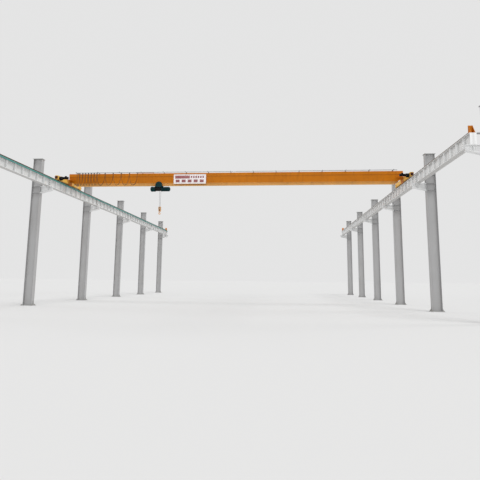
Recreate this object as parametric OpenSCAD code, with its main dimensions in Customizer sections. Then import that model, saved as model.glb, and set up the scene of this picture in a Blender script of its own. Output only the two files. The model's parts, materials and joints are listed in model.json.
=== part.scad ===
// Single-girder overhead travelling crane on its runway, from the floor up.
// X runs across the span, Y along the runway, Z up; the origin is on the floor, midway between the rails.

/* [Runway grid] */
// Distance between the centres of the two crane rails
span = 22500; // [12000:500:24000]
// Distance between two columns along the runway
bay = 7500; // [6000:250:7500]
// Number of bays built
bays = 5; // [4:1:5]
// Height of the rail head above the floor
rail_top = 8000; // [7000:100:9500]
// Distance from a rail to its line of columns
column_offset = 750; // [650:10:900]

/* [Columns] */
// Depth of the column section, across the span
col_depth = 550; // [400:10:600]
// Width of the column flanges
col_width = 300; // [250:10:350]
// Thickness of the column flanges
col_flange = 16; // [12:1:25]
// Thickness of the column web
col_web = 10; // [8:1:16]
// How far the columns rise above the rail head
col_rise = 1100; // [700:50:1500]
// Thickness of the stiffening plates in the columns
col_rib = 12; // [8:1:20]

/* [Column plates] */
// Length of a base plate, across the span
base_len = 750; // [700:10:900]
// Width of a base plate, along the runway
base_wid = 460; // [420:10:560]
// Thickness of a base plate
base_t = 30; // [20:1:50]
// Distance between anchor holes across the span
anchor_x = 640; // [630:5:650]
// Distance between anchor holes along the runway
anchor_y = 340; // [200:10:360]
// Radius of an anchor hole
anchor_r = 16; // [12:1:22]
// Height of the gussets at a column's foot
foot_gusset_h = 260; // [150:10:400]
// Thickness of the gussets at a column's foot
foot_gusset_t = 14; // [8:1:20]
// Length of a cap plate, across the span
cap_len = 640; // [620:10:700]
// Width of a cap plate, along the runway
cap_wid = 380; // [360:10:440]
// Thickness of a cap plate
cap_t = 20; // [12:1:30]
// Distance between splice holes across the span
splice_x = 420; // [360:10:440]
// Distance between splice holes along the runway
splice_y = 200; // [140:10:220]
// Radius of a splice hole
splice_r = 12; // [9:1:16]

/* [Corbels] */
// Depth of a corbel where it meets the column
corbel_root_h = 420; // [320:10:520]
// Depth of a corbel at its tip
corbel_tip_h = 230; // [160:10:300]
// How far a corbel reaches past the centre of the rail
corbel_past_rail = 300; // [200:10:400]
// Width of a corbel's plates, along the runway
corbel_w = 290; // [240:10:340]
// Thickness of a corbel's top and bottom plates
corbel_flange = 18; // [12:1:25]
// Thickness of a corbel's web and ribs
corbel_web = 12; // [8:1:20]

/* [Runway beams] */
// Height of a runway beam
beam_h = 520; // [400:10:700]
// Width of a runway beam's flanges
beam_w = 300; // [260:10:360]
// Thickness of a runway beam's flanges
beam_flange = 16; // [12:1:25]
// Thickness of a runway beam's web
beam_web = 10; // [8:1:16]
// Number of panels between the web stiffeners of one beam
beam_panels = 10; // [6:1:12]
// Thickness of the web stiffeners
stiffener_t = 12; // [8:1:16]
// How far a stiffener stays back from the flange's edge
stiffener_inset = 12; // [0:1:30]
// Gap between the ends of two beams over a corbel
beam_gap = 20; // [10:1:30]
// How far the end beams run past the last columns
beam_overhang = 150; // [140:5:180]
// Width of a tie plate between a beam and a column
tie_w = 220; // [160:10:260]
// Thickness of a tie plate
tie_t = 12; // [8:1:20]
// Height of a tie plate's upright leg on the column
tie_leg = 150; // [100:10:200]

/* [Rails and stops] */
// Height of the rail
rail_h = 134; // [107:1:150]
// Width of the rail head
rail_head_w = 68; // [60:1:70]
// Depth of the rail head
rail_head_h = 38; // [30:1:45]
// Width of the rail foot
rail_foot_w = 114; // [90:1:130]
// Thickness of the rail web
rail_web = 13; // [10:1:18]
// Length kept free of rail behind each end stop
stop_zone = 240; // [200:10:300]
// Width of an end stop
stop_w = 200; // [160:10:240]
// Thickness of an end stop's plates
stop_t = 20; // [12:1:30]

/* [Conductor line] */
// Width of the conductor housing
conductor_w = 50; // [40:1:60]
// Height of the conductor housing
conductor_h = 62; // [50:1:80]
// Wall of the conductor housing
conductor_wall = 4; // [3:1:6]
// Width of the slot under the conductor housing
conductor_slot = 26; // [24:1:30]
// Distance from a beam's flange edge to the housing
conductor_gap = 35; // [25:1:60]
// Number of conductor brackets in one bay
brackets_per_bay = 5; // [3:1:6]
// Width of a conductor bracket
bracket_w = 40; // [30:1:60]
// Thickness of a conductor bracket
bracket_t = 6; // [4:1:10]

/* [End carriages] */
// Where the bridge stands along the runway
bridge_y = -8600; // [-10000:100:9000]
// Distance between the two wheels of an end carriage
wheel_base = 3000; // [2500:100:3400]
// How far a carriage runs past its wheel axles
carriage_nose = 250; // [220:10:300]
// Width of an end carriage
carriage_w = 200; // [196:2:230]
// Height of an end carriage
carriage_h = 255; // [255:5:300]
// Wall of an end carriage
carriage_wall = 8; // [6:1:9]
// Height of a carriage's underside above the rail head
carriage_lift = 25; // [24:1:40]
// Diameter of a crane wheel's tread
wheel_d = 250; // [230:5:250]
// Width of a crane wheel's tread
wheel_tread = 82; // [80:1:90]
// Thickness of a crane wheel's flanges
wheel_flange_t = 14; // [10:1:18]
// Height of a crane wheel's flanges
wheel_flange_h = 15; // [10:1:16]
// Radius of a crane wheel's axle
axle_r = 25; // [20:1:32]
// Radius of an axle's bearing housing
bearing_r = 62; // [50:1:65]
// Thickness of an axle's bearing housing
bearing_t = 25; // [15:1:35]
// Radius of a bridge buffer
buffer_r = 74; // [45:1:80]
// Length of a bridge buffer
buffer_len = 95; // [60:5:140]
// Side of a buffer's base plate
buffer_plate = 185; // [165:5:190]
// Thickness of a buffer's base plate
buffer_plate_t = 10; // [6:1:16]

/* [Bridge girder] */
// Height of the girder's top above the rail head
girder_rise = 740; // [680:10:800]
// Depth of the girder's underside below the rail head
girder_drop = 100; // [90:5:130]
// Width of the girder at its top
girder_w = 380; // [340:10:440]
// Depth of the folded lips at the girder's top
lip_h = 200; // [120:5:200]
// Radius of the folded top corners
fold_r = 30; // [20:1:45]
// Plate of the folded top
trough_t = 8; // [6:1:10]
// Plate of the sloping sides, measured level
side_t = 8; // [6:1:10]
// Width of the plate that closes the box below
closing_w = 200; // [190:5:230]
// Thickness of the closing plate
closing_t = 14; // [10:1:18]
// Width of the flange that the hoist runs on
track_w = 180; // [176:1:190]
// Thickness of the flange that the hoist runs on
track_t = 16; // [12:1:20]
// Thickness of the web over the running flange
track_web = 14; // [10:1:16]
// Free height over the running flange
track_room = 150; // [145:1:160]
// Thickness of the plates on the girder's ends
end_plate_t = 20; // [14:1:28]
// Width of the plates on the girder's ends
end_plate_w = 480; // [450:10:560]
// How far the end plates reach below the rail head
end_plate_drop = 60; // [40:5:80]
// Length of each girder end that slopes up to its carriage
haunch_len = 500; // [400:10:600]
// Thickness of the plate under each sloping end
haunch_t = 12; // [8:1:16]
// Reach of a knee plate along the girder
knee_x = 440; // [300:10:600]
// Reach of a knee plate along the carriage
knee_y = 420; // [300:10:560]
// Thickness of a knee plate
knee_t = 12; // [8:1:16]

/* [Drives] */
// Length of a drive's gearbox
drive_box = 165; // [120:5:180]
// Radius of a drive's gearbox about the wheel axle
drive_box_r = 126; // [100:1:135]
// Radius of a drive's gearbox about the motor
drive_top_r = 92; // [86:1:98]
// Height of a drive motor above the wheel axle
drive_rise = 25; // [20:5:60]
// Radius of a drive motor
drive_motor_r = 70; // [60:1:74]
// Length of a drive motor
drive_motor_len = 400; // [300:10:450]

/* [Hoist trolley] */
// Where the hoist stands across the span, at its ropes
hoist_x = -4800; // [-5000:50:3000]
// Distance between the two wheel axles of the trolley
trolley_base = 300; // [280:10:340]
// Diameter of a trolley wheel's tread
trolley_wheel_d = 120; // [110:1:126]
// Width of a trolley wheel's tread
trolley_tread = 42; // [36:1:44]
// Thickness of the trolley's side plates
cheek_t = 14; // [10:1:18]
// Gap between the running flange and a side plate
cheek_gap = 22; // [20:1:30]
// Distance from the ropes back to the middle of the trolley
trolley_back = 90; // [60:5:100]
// Radius of the round top of a side plate
cheek_r = 210; // [190:5:225]
// Height of a side plate above the wheel axles
cheek_rise = 120; // [90:5:140]
// Width of a side plate at its foot
cheek_w = 520; // [460:10:560]
// Depth of a side plate below the girder
cheek_drop = 80; // [70:5:88]
// Radius of the rods that join the side plates
rod_r = 14; // [10:1:16]
// Radius of the travel motor
travel_motor_r = 70; // [60:1:78]
// Length of the travel motor
travel_motor_len = 200; // [150:10:220]
// Radius of the travel gearbox
travel_box_r = 236; // [200:2:240]
// Thickness of the travel gearbox
travel_box_t = 46; // [36:1:50]

/* [Hoist] */
// Depth of the hoist's axis below the girder
hoist_drop = 220; // [215:5:290]
// Outer radius of the drum housing
housing_r = 165; // [160:1:172]
// Wall of the drum housing
housing_wall = 8; // [6:1:10]
// Length of the drum housing to the left of the ropes
housing_left = 360; // [320:10:380]
// Length of the drum housing to the right of the ropes
housing_right = 90; // [80:5:120]
// Radius of the drum
drum_r = 118; // [110:1:122]
// Depth of the drum's rope grooves
groove = 4; // [2:1:5]
// Distance between two rope grooves
groove_pitch = 17; // [15:1:20]
// Length of the hoist motor
hoist_motor_len = 460; // [400:10:500]
// Radius of the hoist motor
hoist_motor_r = 138; // [120:1:145]
// Length of the hoist motor's fan cover
fan_len = 110; // [80:5:130]
// Length of the hoist gearbox
gearbox_len = 310; // [250:10:330]
// Radius of the hoist gearbox at its flange
gearbox_r = 167; // [158:1:170]

/* [Hook] */
// Height of the sheave's axis above the floor
sheave_z = 6350; // [4000:50:6400]
// Radius of the rope
rope_r = 6.5; // [5:0.5:7]
// Half width of the sheave's groove
sheave_groove = 8; // [7.5:0.5:9]
// Radius of the sheave's rim
sheave_rim = 130; // [128:1:136]
// Thickness of the sheave at its rim
sheave_t = 40; // [34:1:44]
// Radius of the sheave's pin
pin_r = 18; // [14:1:22]
// Thickness of the hook block's cheeks
block_t = 26; // [20:1:34]
// Gap between the sheave and a cheek
block_gap = 11; // [10:1:14]
// Radius of the hook block's cheeks
block_r = 142; // [140:1:150]
// Distance from the sheave's axis to the crosshead
crosshead_drop = 175; // [165:5:190]
// Radius of the hook's shank
shank_r = 18; // [14:1:20]
// Radius of the hook's throat, to the middle of its bar
hook_throat = 58; // [54:1:66]
// Radius of the hook's bar where it carries the load
hook_bar = 24; // [20:1:26]

/* [Festoon] */
// Distance between two support arms
arm_pitch = 1500; // [1200:50:1800]
// Distance from the girder's side to the cable track
festoon_out = 350; // [300:10:400]
// Width of a support arm
arm_w = 40; // [30:1:50]
// Wall of a support arm
arm_t = 5; // [4:1:8]
// Width of the cable track
track_c_w = 42; // [40:1:50]
// Height of the cable track
track_c_h = 36; // [32:1:44]
// Wall of the cable track
track_c_t = 3; // [2:1:4]
// Width of the slot under the cable track
track_c_slot = 14; // [12:1:16]
// Length of a cable trolley
cable_trolley_len = 84; // [70:1:84]
// Width of the flat cable
cable_w = 34; // [24:1:40]
// Thickness of the flat cable
cable_t = 24; // [12:1:28]
// Depth of a cable loop
loop_depth = 820; // [600:10:900]
// Distance between the gathered cable trolleys
gather_pitch = 200; // [196:2:230]
// Distance between the drawn-out cable trolleys
drawn_pitch = 560; // [500:10:600]
// Distance from the hoist's ropes to the tow trolley
tow_reach = 1450; // [1400:10:1600]

/* [Sign board] */
// Length of the sign board
sign_len = 2190; // [1500:10:2400]
// Height of the sign board
sign_h = 650; // [500:10:680]
// Thickness of the sign board
sign_t = 4; // [3:1:6]
// Distance from the middle of the girder to the middle of the board
sign_x = -2770; // [-4000:10:-1500]
// Distance from the girder's top down to the board
sign_drop = 90; // [60:5:110]

/* [Hidden] */
$fn = 64;

// Gap left where one piece runs on another
run_gap = 0.3;
// Gap around a pin or a shaft in its hole
fit_gap = 0.08;
// Room between pieces that pass each other
pass_gap = 6;
// Overrun of a cutting shape past what it cuts
cut = 1;

rail_x = span / 2;
column_x = rail_x + column_offset;
column_face = column_x - col_depth / 2;
col_top = rail_top + col_rise;
runway_len = bays * bay;
beam_top = rail_top - rail_h;
beam_bottom = beam_top - beam_h;
beam_end = runway_len / 2 + beam_overhang;
rail_end = beam_end - stop_zone;

girder_top = rail_top + girder_rise;
girder_bottom = rail_top - girder_drop;
carriage_z = rail_top + carriage_lift;
carriage_top = carriage_z + carriage_h;
carriage_half = wheel_base / 2 + carriage_nose;
carriage_face = rail_x - carriage_w / 2;
axle_z = rail_top + wheel_d / 2;
buffer_z = carriage_z + carriage_h / 2;
stop_h = buffer_z + buffer_plate / 2 - beam_top;
girder_end = carriage_face - end_plate_t;
lip_z = girder_top - lip_h;
closing_z = girder_bottom + track_t + track_room;
wall_low_y = closing_w / 2 - pass_gap;
wall_low_z = closing_z + closing_t;
wall_top_y = girder_w / 2 - trough_t;
haunch_x = girder_end - haunch_len;
haunch_z = carriage_top + 20;
haunch_slope = (haunch_z - girder_bottom) / haunch_len;
haunch_lift = haunch_t / cos(atan(haunch_slope));

trolley_axle_z = girder_bottom + track_t + trolley_wheel_d / 2;
trolley_x0 = hoist_x - trolley_back;
travel_z = trolley_axle_z - 30;
cheek_y = track_w / 2 + cheek_gap;
cheek_foot = 50;
hoist_z = girder_bottom - hoist_drop;
rod_z = girder_bottom - pass_gap - rod_r;
rod_x = trolley_base / 2 - 60;
motor_x = hoist_x + housing_right;
gearbox_x = hoist_x - housing_left;
rope_y = drum_r + rope_r + run_gap;

festoon_y = bridge_y - girder_w / 2 - festoon_out;
track_c_z = girder_top - track_c_h;
cable_z = track_c_z - 30;
tow_x = hoist_x - tow_reach;
gathered = 7;
cable_trolleys = 12;
clamp_x = tow_x - (cable_trolleys - gathered) * drawn_pitch - gathered * gather_pitch;
arms = floor((girder_end - 100) / arm_pitch);

function wall_y(z) = wall_low_y + (z - wall_low_z) * (wall_top_y - wall_low_y) / (lip_z - wall_low_z);
function column_y(i) = (i - bays / 2) * bay;
function trolley_x(i) = clamp_x + min(i, gathered) * gather_pitch + max(i - gathered, 0) * drawn_pitch;
function mirrored(half) = concat(half, [for (i = [len(half) - 1:-1:0]) [-half[i][0], half[i][1]]]);
function half_loop(xa, xb, depth, steps) =
    [for (k = [0:steps]) [(xa + xb) / 2 - (xb - xa) / 2 * cos(180 * k / steps), -depth * sin(180 * k / steps)]];

module at_columns() {
    for (side = [-1, 1], i = [0:bays]) translate([side * column_x, column_y(i), 0]) scale_side(side) children();
}

// Turns a right-hand shape into a left-hand one
module scale_side(side) {
    if (side < 0) mirror([1, 0, 0]) children();
    else children();
}

module on_rail(side) {
    scale_side(side) translate([rail_x, 0, 0]) children();
}

// Stands a profile drawn in X and Z up, centred on Y
module slab(thickness) {
    translate([0, thickness / 2, 0]) rotate([90, 0, 0]) linear_extrude(thickness) children();
}

// Lays a profile drawn in Y and Z along X
module along_x(length) {
    rotate([90, 0, 90]) linear_extrude(length) children();
}

// Turns a profile of radius and length about an axis along X
module turned() {
    rotate([0, 90, 0]) rotate_extrude() children();
}

module rod_y(r, length) {
    translate([0, length / 2, 0]) rotate([90, 0, 0]) cylinder(r = r, h = length);
}

module columns() {
    color("gainsboro") at_columns() {
        translate([0, 0, base_t]) linear_extrude(col_top - base_t) {
            square([col_depth - 2 * col_flange, col_web], center = true);
            for (s = [-1, 1]) translate([s * (col_depth - col_flange) / 2, 0])
                square([col_flange, col_width], center = true);
        }
        for (z = [beam_bottom - corbel_root_h, beam_bottom - col_rib, beam_top - col_rib])
            translate([0, 0, z + col_rib / 2])
                cube([col_depth - 2 * col_flange, col_width - 2 * col_rib, col_rib], center = true);
    }
}

module base_plates() {
    color("silver") at_columns() {
        difference() {
            translate([0, 0, base_t / 2]) cube([base_len, base_wid, base_t], center = true);
            for (x = [-1, 1], y = [-1, 1]) translate([x * anchor_x / 2, y * anchor_y / 2, -cut])
                cylinder(r = anchor_r, h = base_t + 2 * cut);
        }
        gusset_x = (base_len - col_depth) / 2;
        for (s = [-1, 1]) scale_side(s) translate([col_depth / 2, 0, base_t])
            slab(foot_gusset_t) polygon([[0, 0], [gusset_x, 0], [gusset_x, gusset_x / 3], [0, foot_gusset_h]]);
    }
}

module cap_plates() {
    color("silver") at_columns() translate([0, 0, col_top]) difference() {
        translate([0, 0, cap_t / 2]) cube([cap_len, cap_wid, cap_t], center = true);
        for (x = [-1, 1], y = [-1, 1]) translate([x * splice_x / 2, y * splice_y / 2, -cut])
            cylinder(r = splice_r, h = cap_t + 2 * cut);
    }
}

// Tapered bracket that carries a runway beam in front of its column
module corbels() {
    reach = column_face - rail_x + corbel_past_rail;
    rise = corbel_root_h - corbel_tip_h;
    seat_x = rail_x - column_face;
    color("gainsboro") at_columns() translate([column_face - column_x, 0, beam_bottom]) {
        slab(corbel_w) polygon([[0, 0], [-reach, 0], [-reach, -corbel_flange], [0, -corbel_flange]]);
        slab(corbel_w) polygon([
            [0, -corbel_root_h + corbel_flange], [-reach, -corbel_tip_h + corbel_flange],
            [-reach, -corbel_tip_h], [0, -corbel_root_h]
        ]);
        slab(corbel_web) polygon([[0, -cut], [-reach, -cut], [-reach, -corbel_tip_h + cut], [0, -corbel_root_h + cut]]);
        slab(corbel_w - 2 * corbel_web) polygon([
            [seat_x - corbel_web / 2, -cut], [seat_x + corbel_web / 2, -cut],
            [seat_x + corbel_web / 2, -corbel_tip_h + cut], [seat_x - corbel_web / 2, -corbel_tip_h + cut]
        ]);
    }
}

// Angle plate that holds a beam's top flange back to the column
module tie_plates() {
    start = rail_x + stop_w / 2 + pass_gap - column_x;
    face = column_face - column_x;
    color("silver") at_columns() translate([0, 0, beam_top]) slab(tie_w)
        polygon([[start, 0], [face, 0], [face, tie_leg], [face - tie_t, tie_leg], [face - tie_t, tie_t], [start, tie_t]]);
}

module runway_beam(length) {
    panel = length / beam_panels;
    wide = beam_w - 2 * stiffener_inset;
    for (z = [0, beam_h - beam_flange]) translate([-beam_w / 2, 0, z]) cube([beam_w, length, beam_flange]);
    translate([0, 0, beam_flange]) linear_extrude(beam_h - 2 * beam_flange) {
        translate([-beam_web / 2, 0]) square([beam_web, length]);
        for (k = [0:beam_panels]) translate([-wide / 2, k * (panel - stiffener_t / beam_panels)])
            square([wide, stiffener_t]);
    }
}

module runway_beams(side) {
    color("whitesmoke") on_rail(side) for (i = [0:bays - 1]) {
        y0 = i == 0 ? -beam_end : column_y(i) + beam_gap / 2;
        y1 = i == bays - 1 ? beam_end : column_y(i + 1) - beam_gap / 2;
        translate([0, y0, beam_bottom]) runway_beam(y1 - y0);
    }
}

module rail(side) {
    color("dimgray") on_rail(side) translate([0, 0, beam_top]) slab(2 * rail_end) polygon(mirrored([
        [rail_foot_w / 2, 0], [rail_foot_w / 2, rail_h * 0.07], [rail_web * 1.2, rail_h * 0.18], [rail_web / 2, rail_h * 0.26],
        [rail_web / 2, rail_h - rail_head_h * 1.2], [rail_head_w * 0.47, rail_h - rail_head_h * 0.8],
        [rail_head_w / 2, rail_h - rail_head_h * 0.25], [rail_head_w * 0.38, rail_h]
    ]));
}

// Upright plate with a raking gusset behind it, at each end of each rail
module end_stops() {
    back = stop_zone - stop_t - pass_gap;
    color("gold") for (side = [-1, 1], end = [-1, 1]) on_rail(side) scale_end(end)
        translate([0, rail_end + pass_gap, beam_top]) {
            translate([-stop_w / 2, 0, 0]) cube([stop_w, stop_t, stop_h]);
            for (x = [-1, 1]) translate([x * (stop_w / 2 - stop_t), stop_t, 0]) rotate([90, 0, 90])
                translate([0, 0, -stop_t / 2]) linear_extrude(stop_t)
                    polygon([[-cut, 0], [back, 0], [back, stop_t], [stop_t, stop_h - stop_t], [-cut, stop_h - stop_t]]);
        }
}

module scale_end(end) {
    if (end < 0) mirror([0, 1, 0]) children();
    else children();
}

module conductor_section() {
    half = conductor_w / 2;
    slot = conductor_slot / 2;
    inner = half - conductor_wall;
    polygon(mirrored([
        [half, 0], [half, -conductor_h], [slot, -conductor_h], [slot, -conductor_h + conductor_wall],
        [inner, -conductor_h + conductor_wall], [inner, -conductor_wall]
    ]));
}

conductor_x = rail_x - beam_w / 2 - conductor_gap - conductor_w / 2;
conductor_z = beam_top - beam_flange - bracket_t;

module conductor_rail() {
    color("teal") scale_side(-1) translate([conductor_x, 0, conductor_z]) slab(2 * rail_end) conductor_section();
}

module conductor_brackets() {
    step = bay / brackets_per_bay;
    reach = conductor_gap + conductor_w + bracket_w;
    color("darkslategray") scale_side(-1) for (k = [0:bays * brackets_per_bay - 1])
        translate([rail_x - beam_w / 2 + bracket_w, -runway_len / 2 + (k + 0.25) * step, conductor_z])
            translate([-reach, -bracket_w / 2, 0]) cube([reach, bracket_w, bracket_t]);
}

// Folded plate that makes the top of the girder and its two upright lips
module girder_top_plate() {
    half = girder_w / 2;
    color("goldenrod") translate([-girder_end, bridge_y, 0]) along_x(2 * girder_end) difference() {
        rounded_top(half, girder_top, fold_r);
        rounded_top(half - trough_t, girder_top - trough_t, fold_r - trough_t);
    }
}

// Upright block with two round top corners, drawn in Y and Z above the lips' lower edge
module rounded_top(half, top, r) {
    translate([-half, lip_z]) square([2 * half, top - r - lip_z]);
    translate([-half + r, lip_z]) square([2 * (half - r), top - lip_z]);
    for (s = [-1, 1]) translate([s * (half - r), top - r]) circle(r = r);
}

// Everything below the sloping line at both ends, up to the sloping plates' upper faces
module below_haunches() {
    over = haunch_lift + cut;
    for (side = [-1, 1]) scale_side(side) translate([0, bridge_y + girder_w, 0]) rotate([90, 0, 0])
        linear_extrude(2 * girder_w) polygon([
            [haunch_x - over / haunch_slope, girder_bottom - cut],
            [girder_end + cut, haunch_z + haunch_lift + cut * haunch_slope], [girder_end + cut, girder_bottom - cut]
        ]);
}

// Plates that slope in to the foot, lapped behind the lips and cut off slanting at both ends
module girder_side_plates() {
    lap = 20;
    color("goldenrod") difference() {
        translate([-girder_end, bridge_y, 0]) along_x(2 * girder_end) for (s = [-1, 1]) polygon([
            [s * wall_top_y, lip_z + lap], [s * (wall_top_y - side_t), lip_z + lap], [s * (wall_top_y - side_t), lip_z],
            [s * (wall_low_y - side_t), wall_low_z], [s * wall_low_y, wall_low_z], [s * wall_top_y, lip_z]
        ]);
        below_haunches();
    }
}

// Closing plate, web and the flange that the hoist trolley runs on
module girder_track_beam() {
    color("darkgoldenrod") difference() {
        translate([-girder_end, bridge_y, 0]) along_x(2 * girder_end) {
            translate([-closing_w / 2, closing_z]) square([closing_w, closing_t]);
            translate([-track_web / 2, girder_bottom]) square([track_web, closing_z + closing_t - girder_bottom]);
            translate([-track_w / 2, girder_bottom]) square([track_w, track_t]);
        }
        below_haunches();
    }
}

// Plates that climb from the running flange to the end plates, as wide as the girder above them
module girder_haunch_plates() {
    start = haunch_x - haunch_lift / haunch_slope;
    color("goldenrod") for (side = [-1, 1]) scale_side(side) intersection() {
        translate([0, bridge_y + girder_w, 0]) rotate([90, 0, 0]) linear_extrude(2 * girder_w) polygon([
            [start, girder_bottom], [haunch_x, girder_bottom], [girder_end, haunch_z], [girder_end, haunch_z + haunch_lift]
        ]);
        translate([start - cut, bridge_y, 0]) along_x(2 * haunch_len) polygon([
            [-wall_low_y, girder_bottom - cut], [wall_low_y, girder_bottom - cut], [wall_low_y, wall_low_z],
            [wall_top_y, lip_z], [-wall_top_y, lip_z], [-wall_low_y, wall_low_z]
        ]);
    }
}

module girder_outline() {
    top = girder_w / 2;
    polygon([
        [-wall_low_y, wall_low_z], [wall_low_y, wall_low_z], [wall_top_y, lip_z], [top, lip_z],
        [top, girder_top], [-top, girder_top], [-top, lip_z], [-wall_top_y, lip_z]
    ]);
}

module girder_end_plates() {
    low = rail_top - end_plate_drop;
    color("darkgoldenrod") for (side = [-1, 1]) scale_side(side) translate([girder_end, bridge_y, 0]) along_x(end_plate_t) {
        translate([-end_plate_w / 2, low]) square([end_plate_w, carriage_top - low]);
        intersection() {
            girder_outline();
            translate([-girder_w, carriage_top - cut]) square([2 * girder_w, girder_top - carriage_top]);
        }
    }
}

// Level triangular plates between the girder's sides and the tops of the carriages
module knee_plates() {
    inner = wall_y(carriage_top);
    outer_x = rail_x + carriage_w / 4;
    color("goldenrod") for (side = [-1, 1], s = [-1, 1]) scale_side(side) difference() {
        translate([0, bridge_y, carriage_top]) scale_end(s) linear_extrude(knee_t) polygon([
            [carriage_face - knee_x, inner], [outer_x, inner], [outer_x, inner + knee_y],
            [carriage_face, inner + knee_y], [carriage_face - knee_x, inner + 4 * knee_t]
        ]);
        translate([0, bridge_y, 0]) along_x(carriage_face) girder_outline();
    }
}

// Box on two wheels, with a pocket cut for each wheel and a bearing housing on each side of it
module end_carriage(side) {
    inner_w = carriage_w - 2 * carriage_wall;
    pocket_y = wheel_d / 2 + wheel_flange_h + pass_gap;
    pocket_x = wheel_tread / 2 + wheel_flange_t + pass_gap;
    color("goldenrod") on_rail(side) translate([0, bridge_y, 0]) difference() {
        union() {
            translate([-carriage_w / 2, -carriage_half, carriage_z]) cube([carriage_w, 2 * carriage_half, carriage_h]);
            for (y = [-1, 1]) translate([-carriage_w / 2 - bearing_t, y * wheel_base / 2, axle_z])
                rotate([0, 90, 0]) cylinder(r = bearing_r, h = carriage_w + 2 * bearing_t);
        }
        translate([-inner_w / 2, -carriage_half + carriage_wall, carriage_z + carriage_wall])
            cube([inner_w, 2 * (carriage_half - carriage_wall), carriage_h - 2 * carriage_wall]);
        for (y = [-1, 1]) translate([0, y * wheel_base / 2, 0]) {
            translate([-pocket_x, -pocket_y, carriage_z - cut]) cube([2 * pocket_x, 2 * pocket_y, 2 * carriage_wall]);
            translate([-carriage_w, 0, axle_z]) rotate([0, 90, 0]) cylinder(r = axle_r + fit_gap, h = 2 * carriage_w);
        }
    }
}

// Flanged wheel in one piece with its axle
module crane_wheel(side, end) {
    tread = wheel_d / 2 - run_gap;
    rim = tread + wheel_flange_h;
    half = wheel_tread / 2;
    out = half + wheel_flange_t;
    disc = half * 0.45;
    hub = wheel_d * 0.19;
    axle = carriage_w / 2 + bearing_t - run_gap;
    color("dimgray") on_rail(side) translate([0, bridge_y + end * wheel_base / 2, axle_z]) turned() polygon([
        [0, -axle], [axle_r, -axle], [axle_r, -out], [hub, -out], [hub + 4, -disc], [tread * 0.78, -disc], [tread * 0.82, -out],
        [rim - 3, -out], [rim, -out + 4], [tread, -half], [tread, half], [rim, out - 4], [rim - 3, out],
        [tread * 0.82, out], [tread * 0.78, disc], [hub + 4, disc], [hub, out], [axle_r, out], [axle_r, axle], [0, axle]
    ]);
}

module motor_ribs(r, depth, count, thick) {
    for (k = [0:count - 1]) rotate(k * 360 / count) translate([0, -thick / 2]) square([r + depth, thick]);
}

// Gearbox on the wheel axle with a ribbed motor above it
module drive(side) {
    ribs = 16;
    rib_depth = 9;
    rib_t = 4;
    cap = 26;
    box_x = carriage_w / 2 + bearing_t;
    color("black") on_rail(side) translate([0, bridge_y - wheel_base / 2, axle_z]) {
        translate([-box_x - drive_box, 0, 0]) {
            rotate([0, 90, 0]) cylinder(r = drive_box_r, h = drive_box);
            translate([0, 0, drive_rise]) rotate([0, 90, 0]) cylinder(r = drive_top_r, h = drive_box);
            translate([0, -drive_top_r * 0.98, 0]) cube([drive_box, drive_top_r * 1.96, drive_rise]);
        }
        translate([-box_x - drive_box - drive_motor_len, 0, drive_rise]) {
            rotate([90, 0, 90]) translate([0, 0, cap]) {
                cylinder(r = drive_motor_r, h = drive_motor_len - cap);
                linear_extrude(drive_motor_len - cap - 20) motor_ribs(drive_motor_r, rib_depth, ribs, rib_t);
            }
            rotate([0, 90, 0]) rotate_extrude()
                polygon([[0, 0], [drive_motor_r - cap, 0], [drive_motor_r, cap * 0.6], [drive_motor_r, cap + cut], [0, cap + cut]]);
        }
        translate([-box_x - drive_box - drive_motor_len * 0.55, 0, drive_rise + drive_motor_r])
            translate([-50, -45, -5]) cube([100, 90, 55]);
    }
}

module bridge_buffers() {
    color("saddlebrown") for (side = [-1, 1], end = [-1, 1]) on_rail(side)
        translate([0, bridge_y, buffer_z]) scale_end(end) translate([0, carriage_half, 0]) {
            translate([-buffer_plate / 2, 0, -buffer_plate / 2]) cube([buffer_plate, buffer_plate_t, buffer_plate]);
            translate([0, buffer_plate_t, 0]) rotate([-90, 0, 0]) rotate_extrude() polygon([
                [0, -cut], [buffer_r, -cut], [buffer_r, buffer_len * 0.15], [buffer_r * 0.86, buffer_len * 0.3],
                [buffer_r * 0.86, buffer_len * 0.45], [buffer_r, buffer_len * 0.6], [buffer_r, buffer_len * 0.85],
                [buffer_r * 0.85, buffer_len], [0, buffer_len]
            ]);
        }
}

// Angle arms that lie on the girder's top and reach out over its side to carry the cable track
module festoon_arms() {
    tip = -girder_w / 2 - festoon_out - track_c_w;
    root = -girder_w / 2 + fold_r + 2 * arm_w;
    color("slategray") for (k = [-arms:arms]) translate([k * arm_pitch - arm_w / 2, bridge_y + root, girder_top])
        rotate([90, 0, 0]) linear_extrude(root - tip)
            polygon([[0, 0], [arm_w, 0], [arm_w, arm_t], [arm_t, arm_t], [arm_t, arm_w], [0, arm_w]]);
}

// C-shaped track, open below, with the fixed cable clamp under its left end
module festoon_track() {
    half = track_c_w / 2;
    slot = track_c_slot / 2;
    first = clamp_x - 60;
    last = arms * arm_pitch + 200;
    color("silver") translate([0, festoon_y, track_c_z]) {
        translate([first, 0, 0]) along_x(last - first) polygon(mirrored([
            [half, track_c_h], [half, 0], [slot, 0], [slot, track_c_t], [half - track_c_t, track_c_t],
            [half - track_c_t, track_c_h - track_c_t]
        ]));
        translate([clamp_x - 30, -half, cable_z - track_c_z]) cube([60, track_c_w, track_c_z - cable_z]);
    }
}

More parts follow.
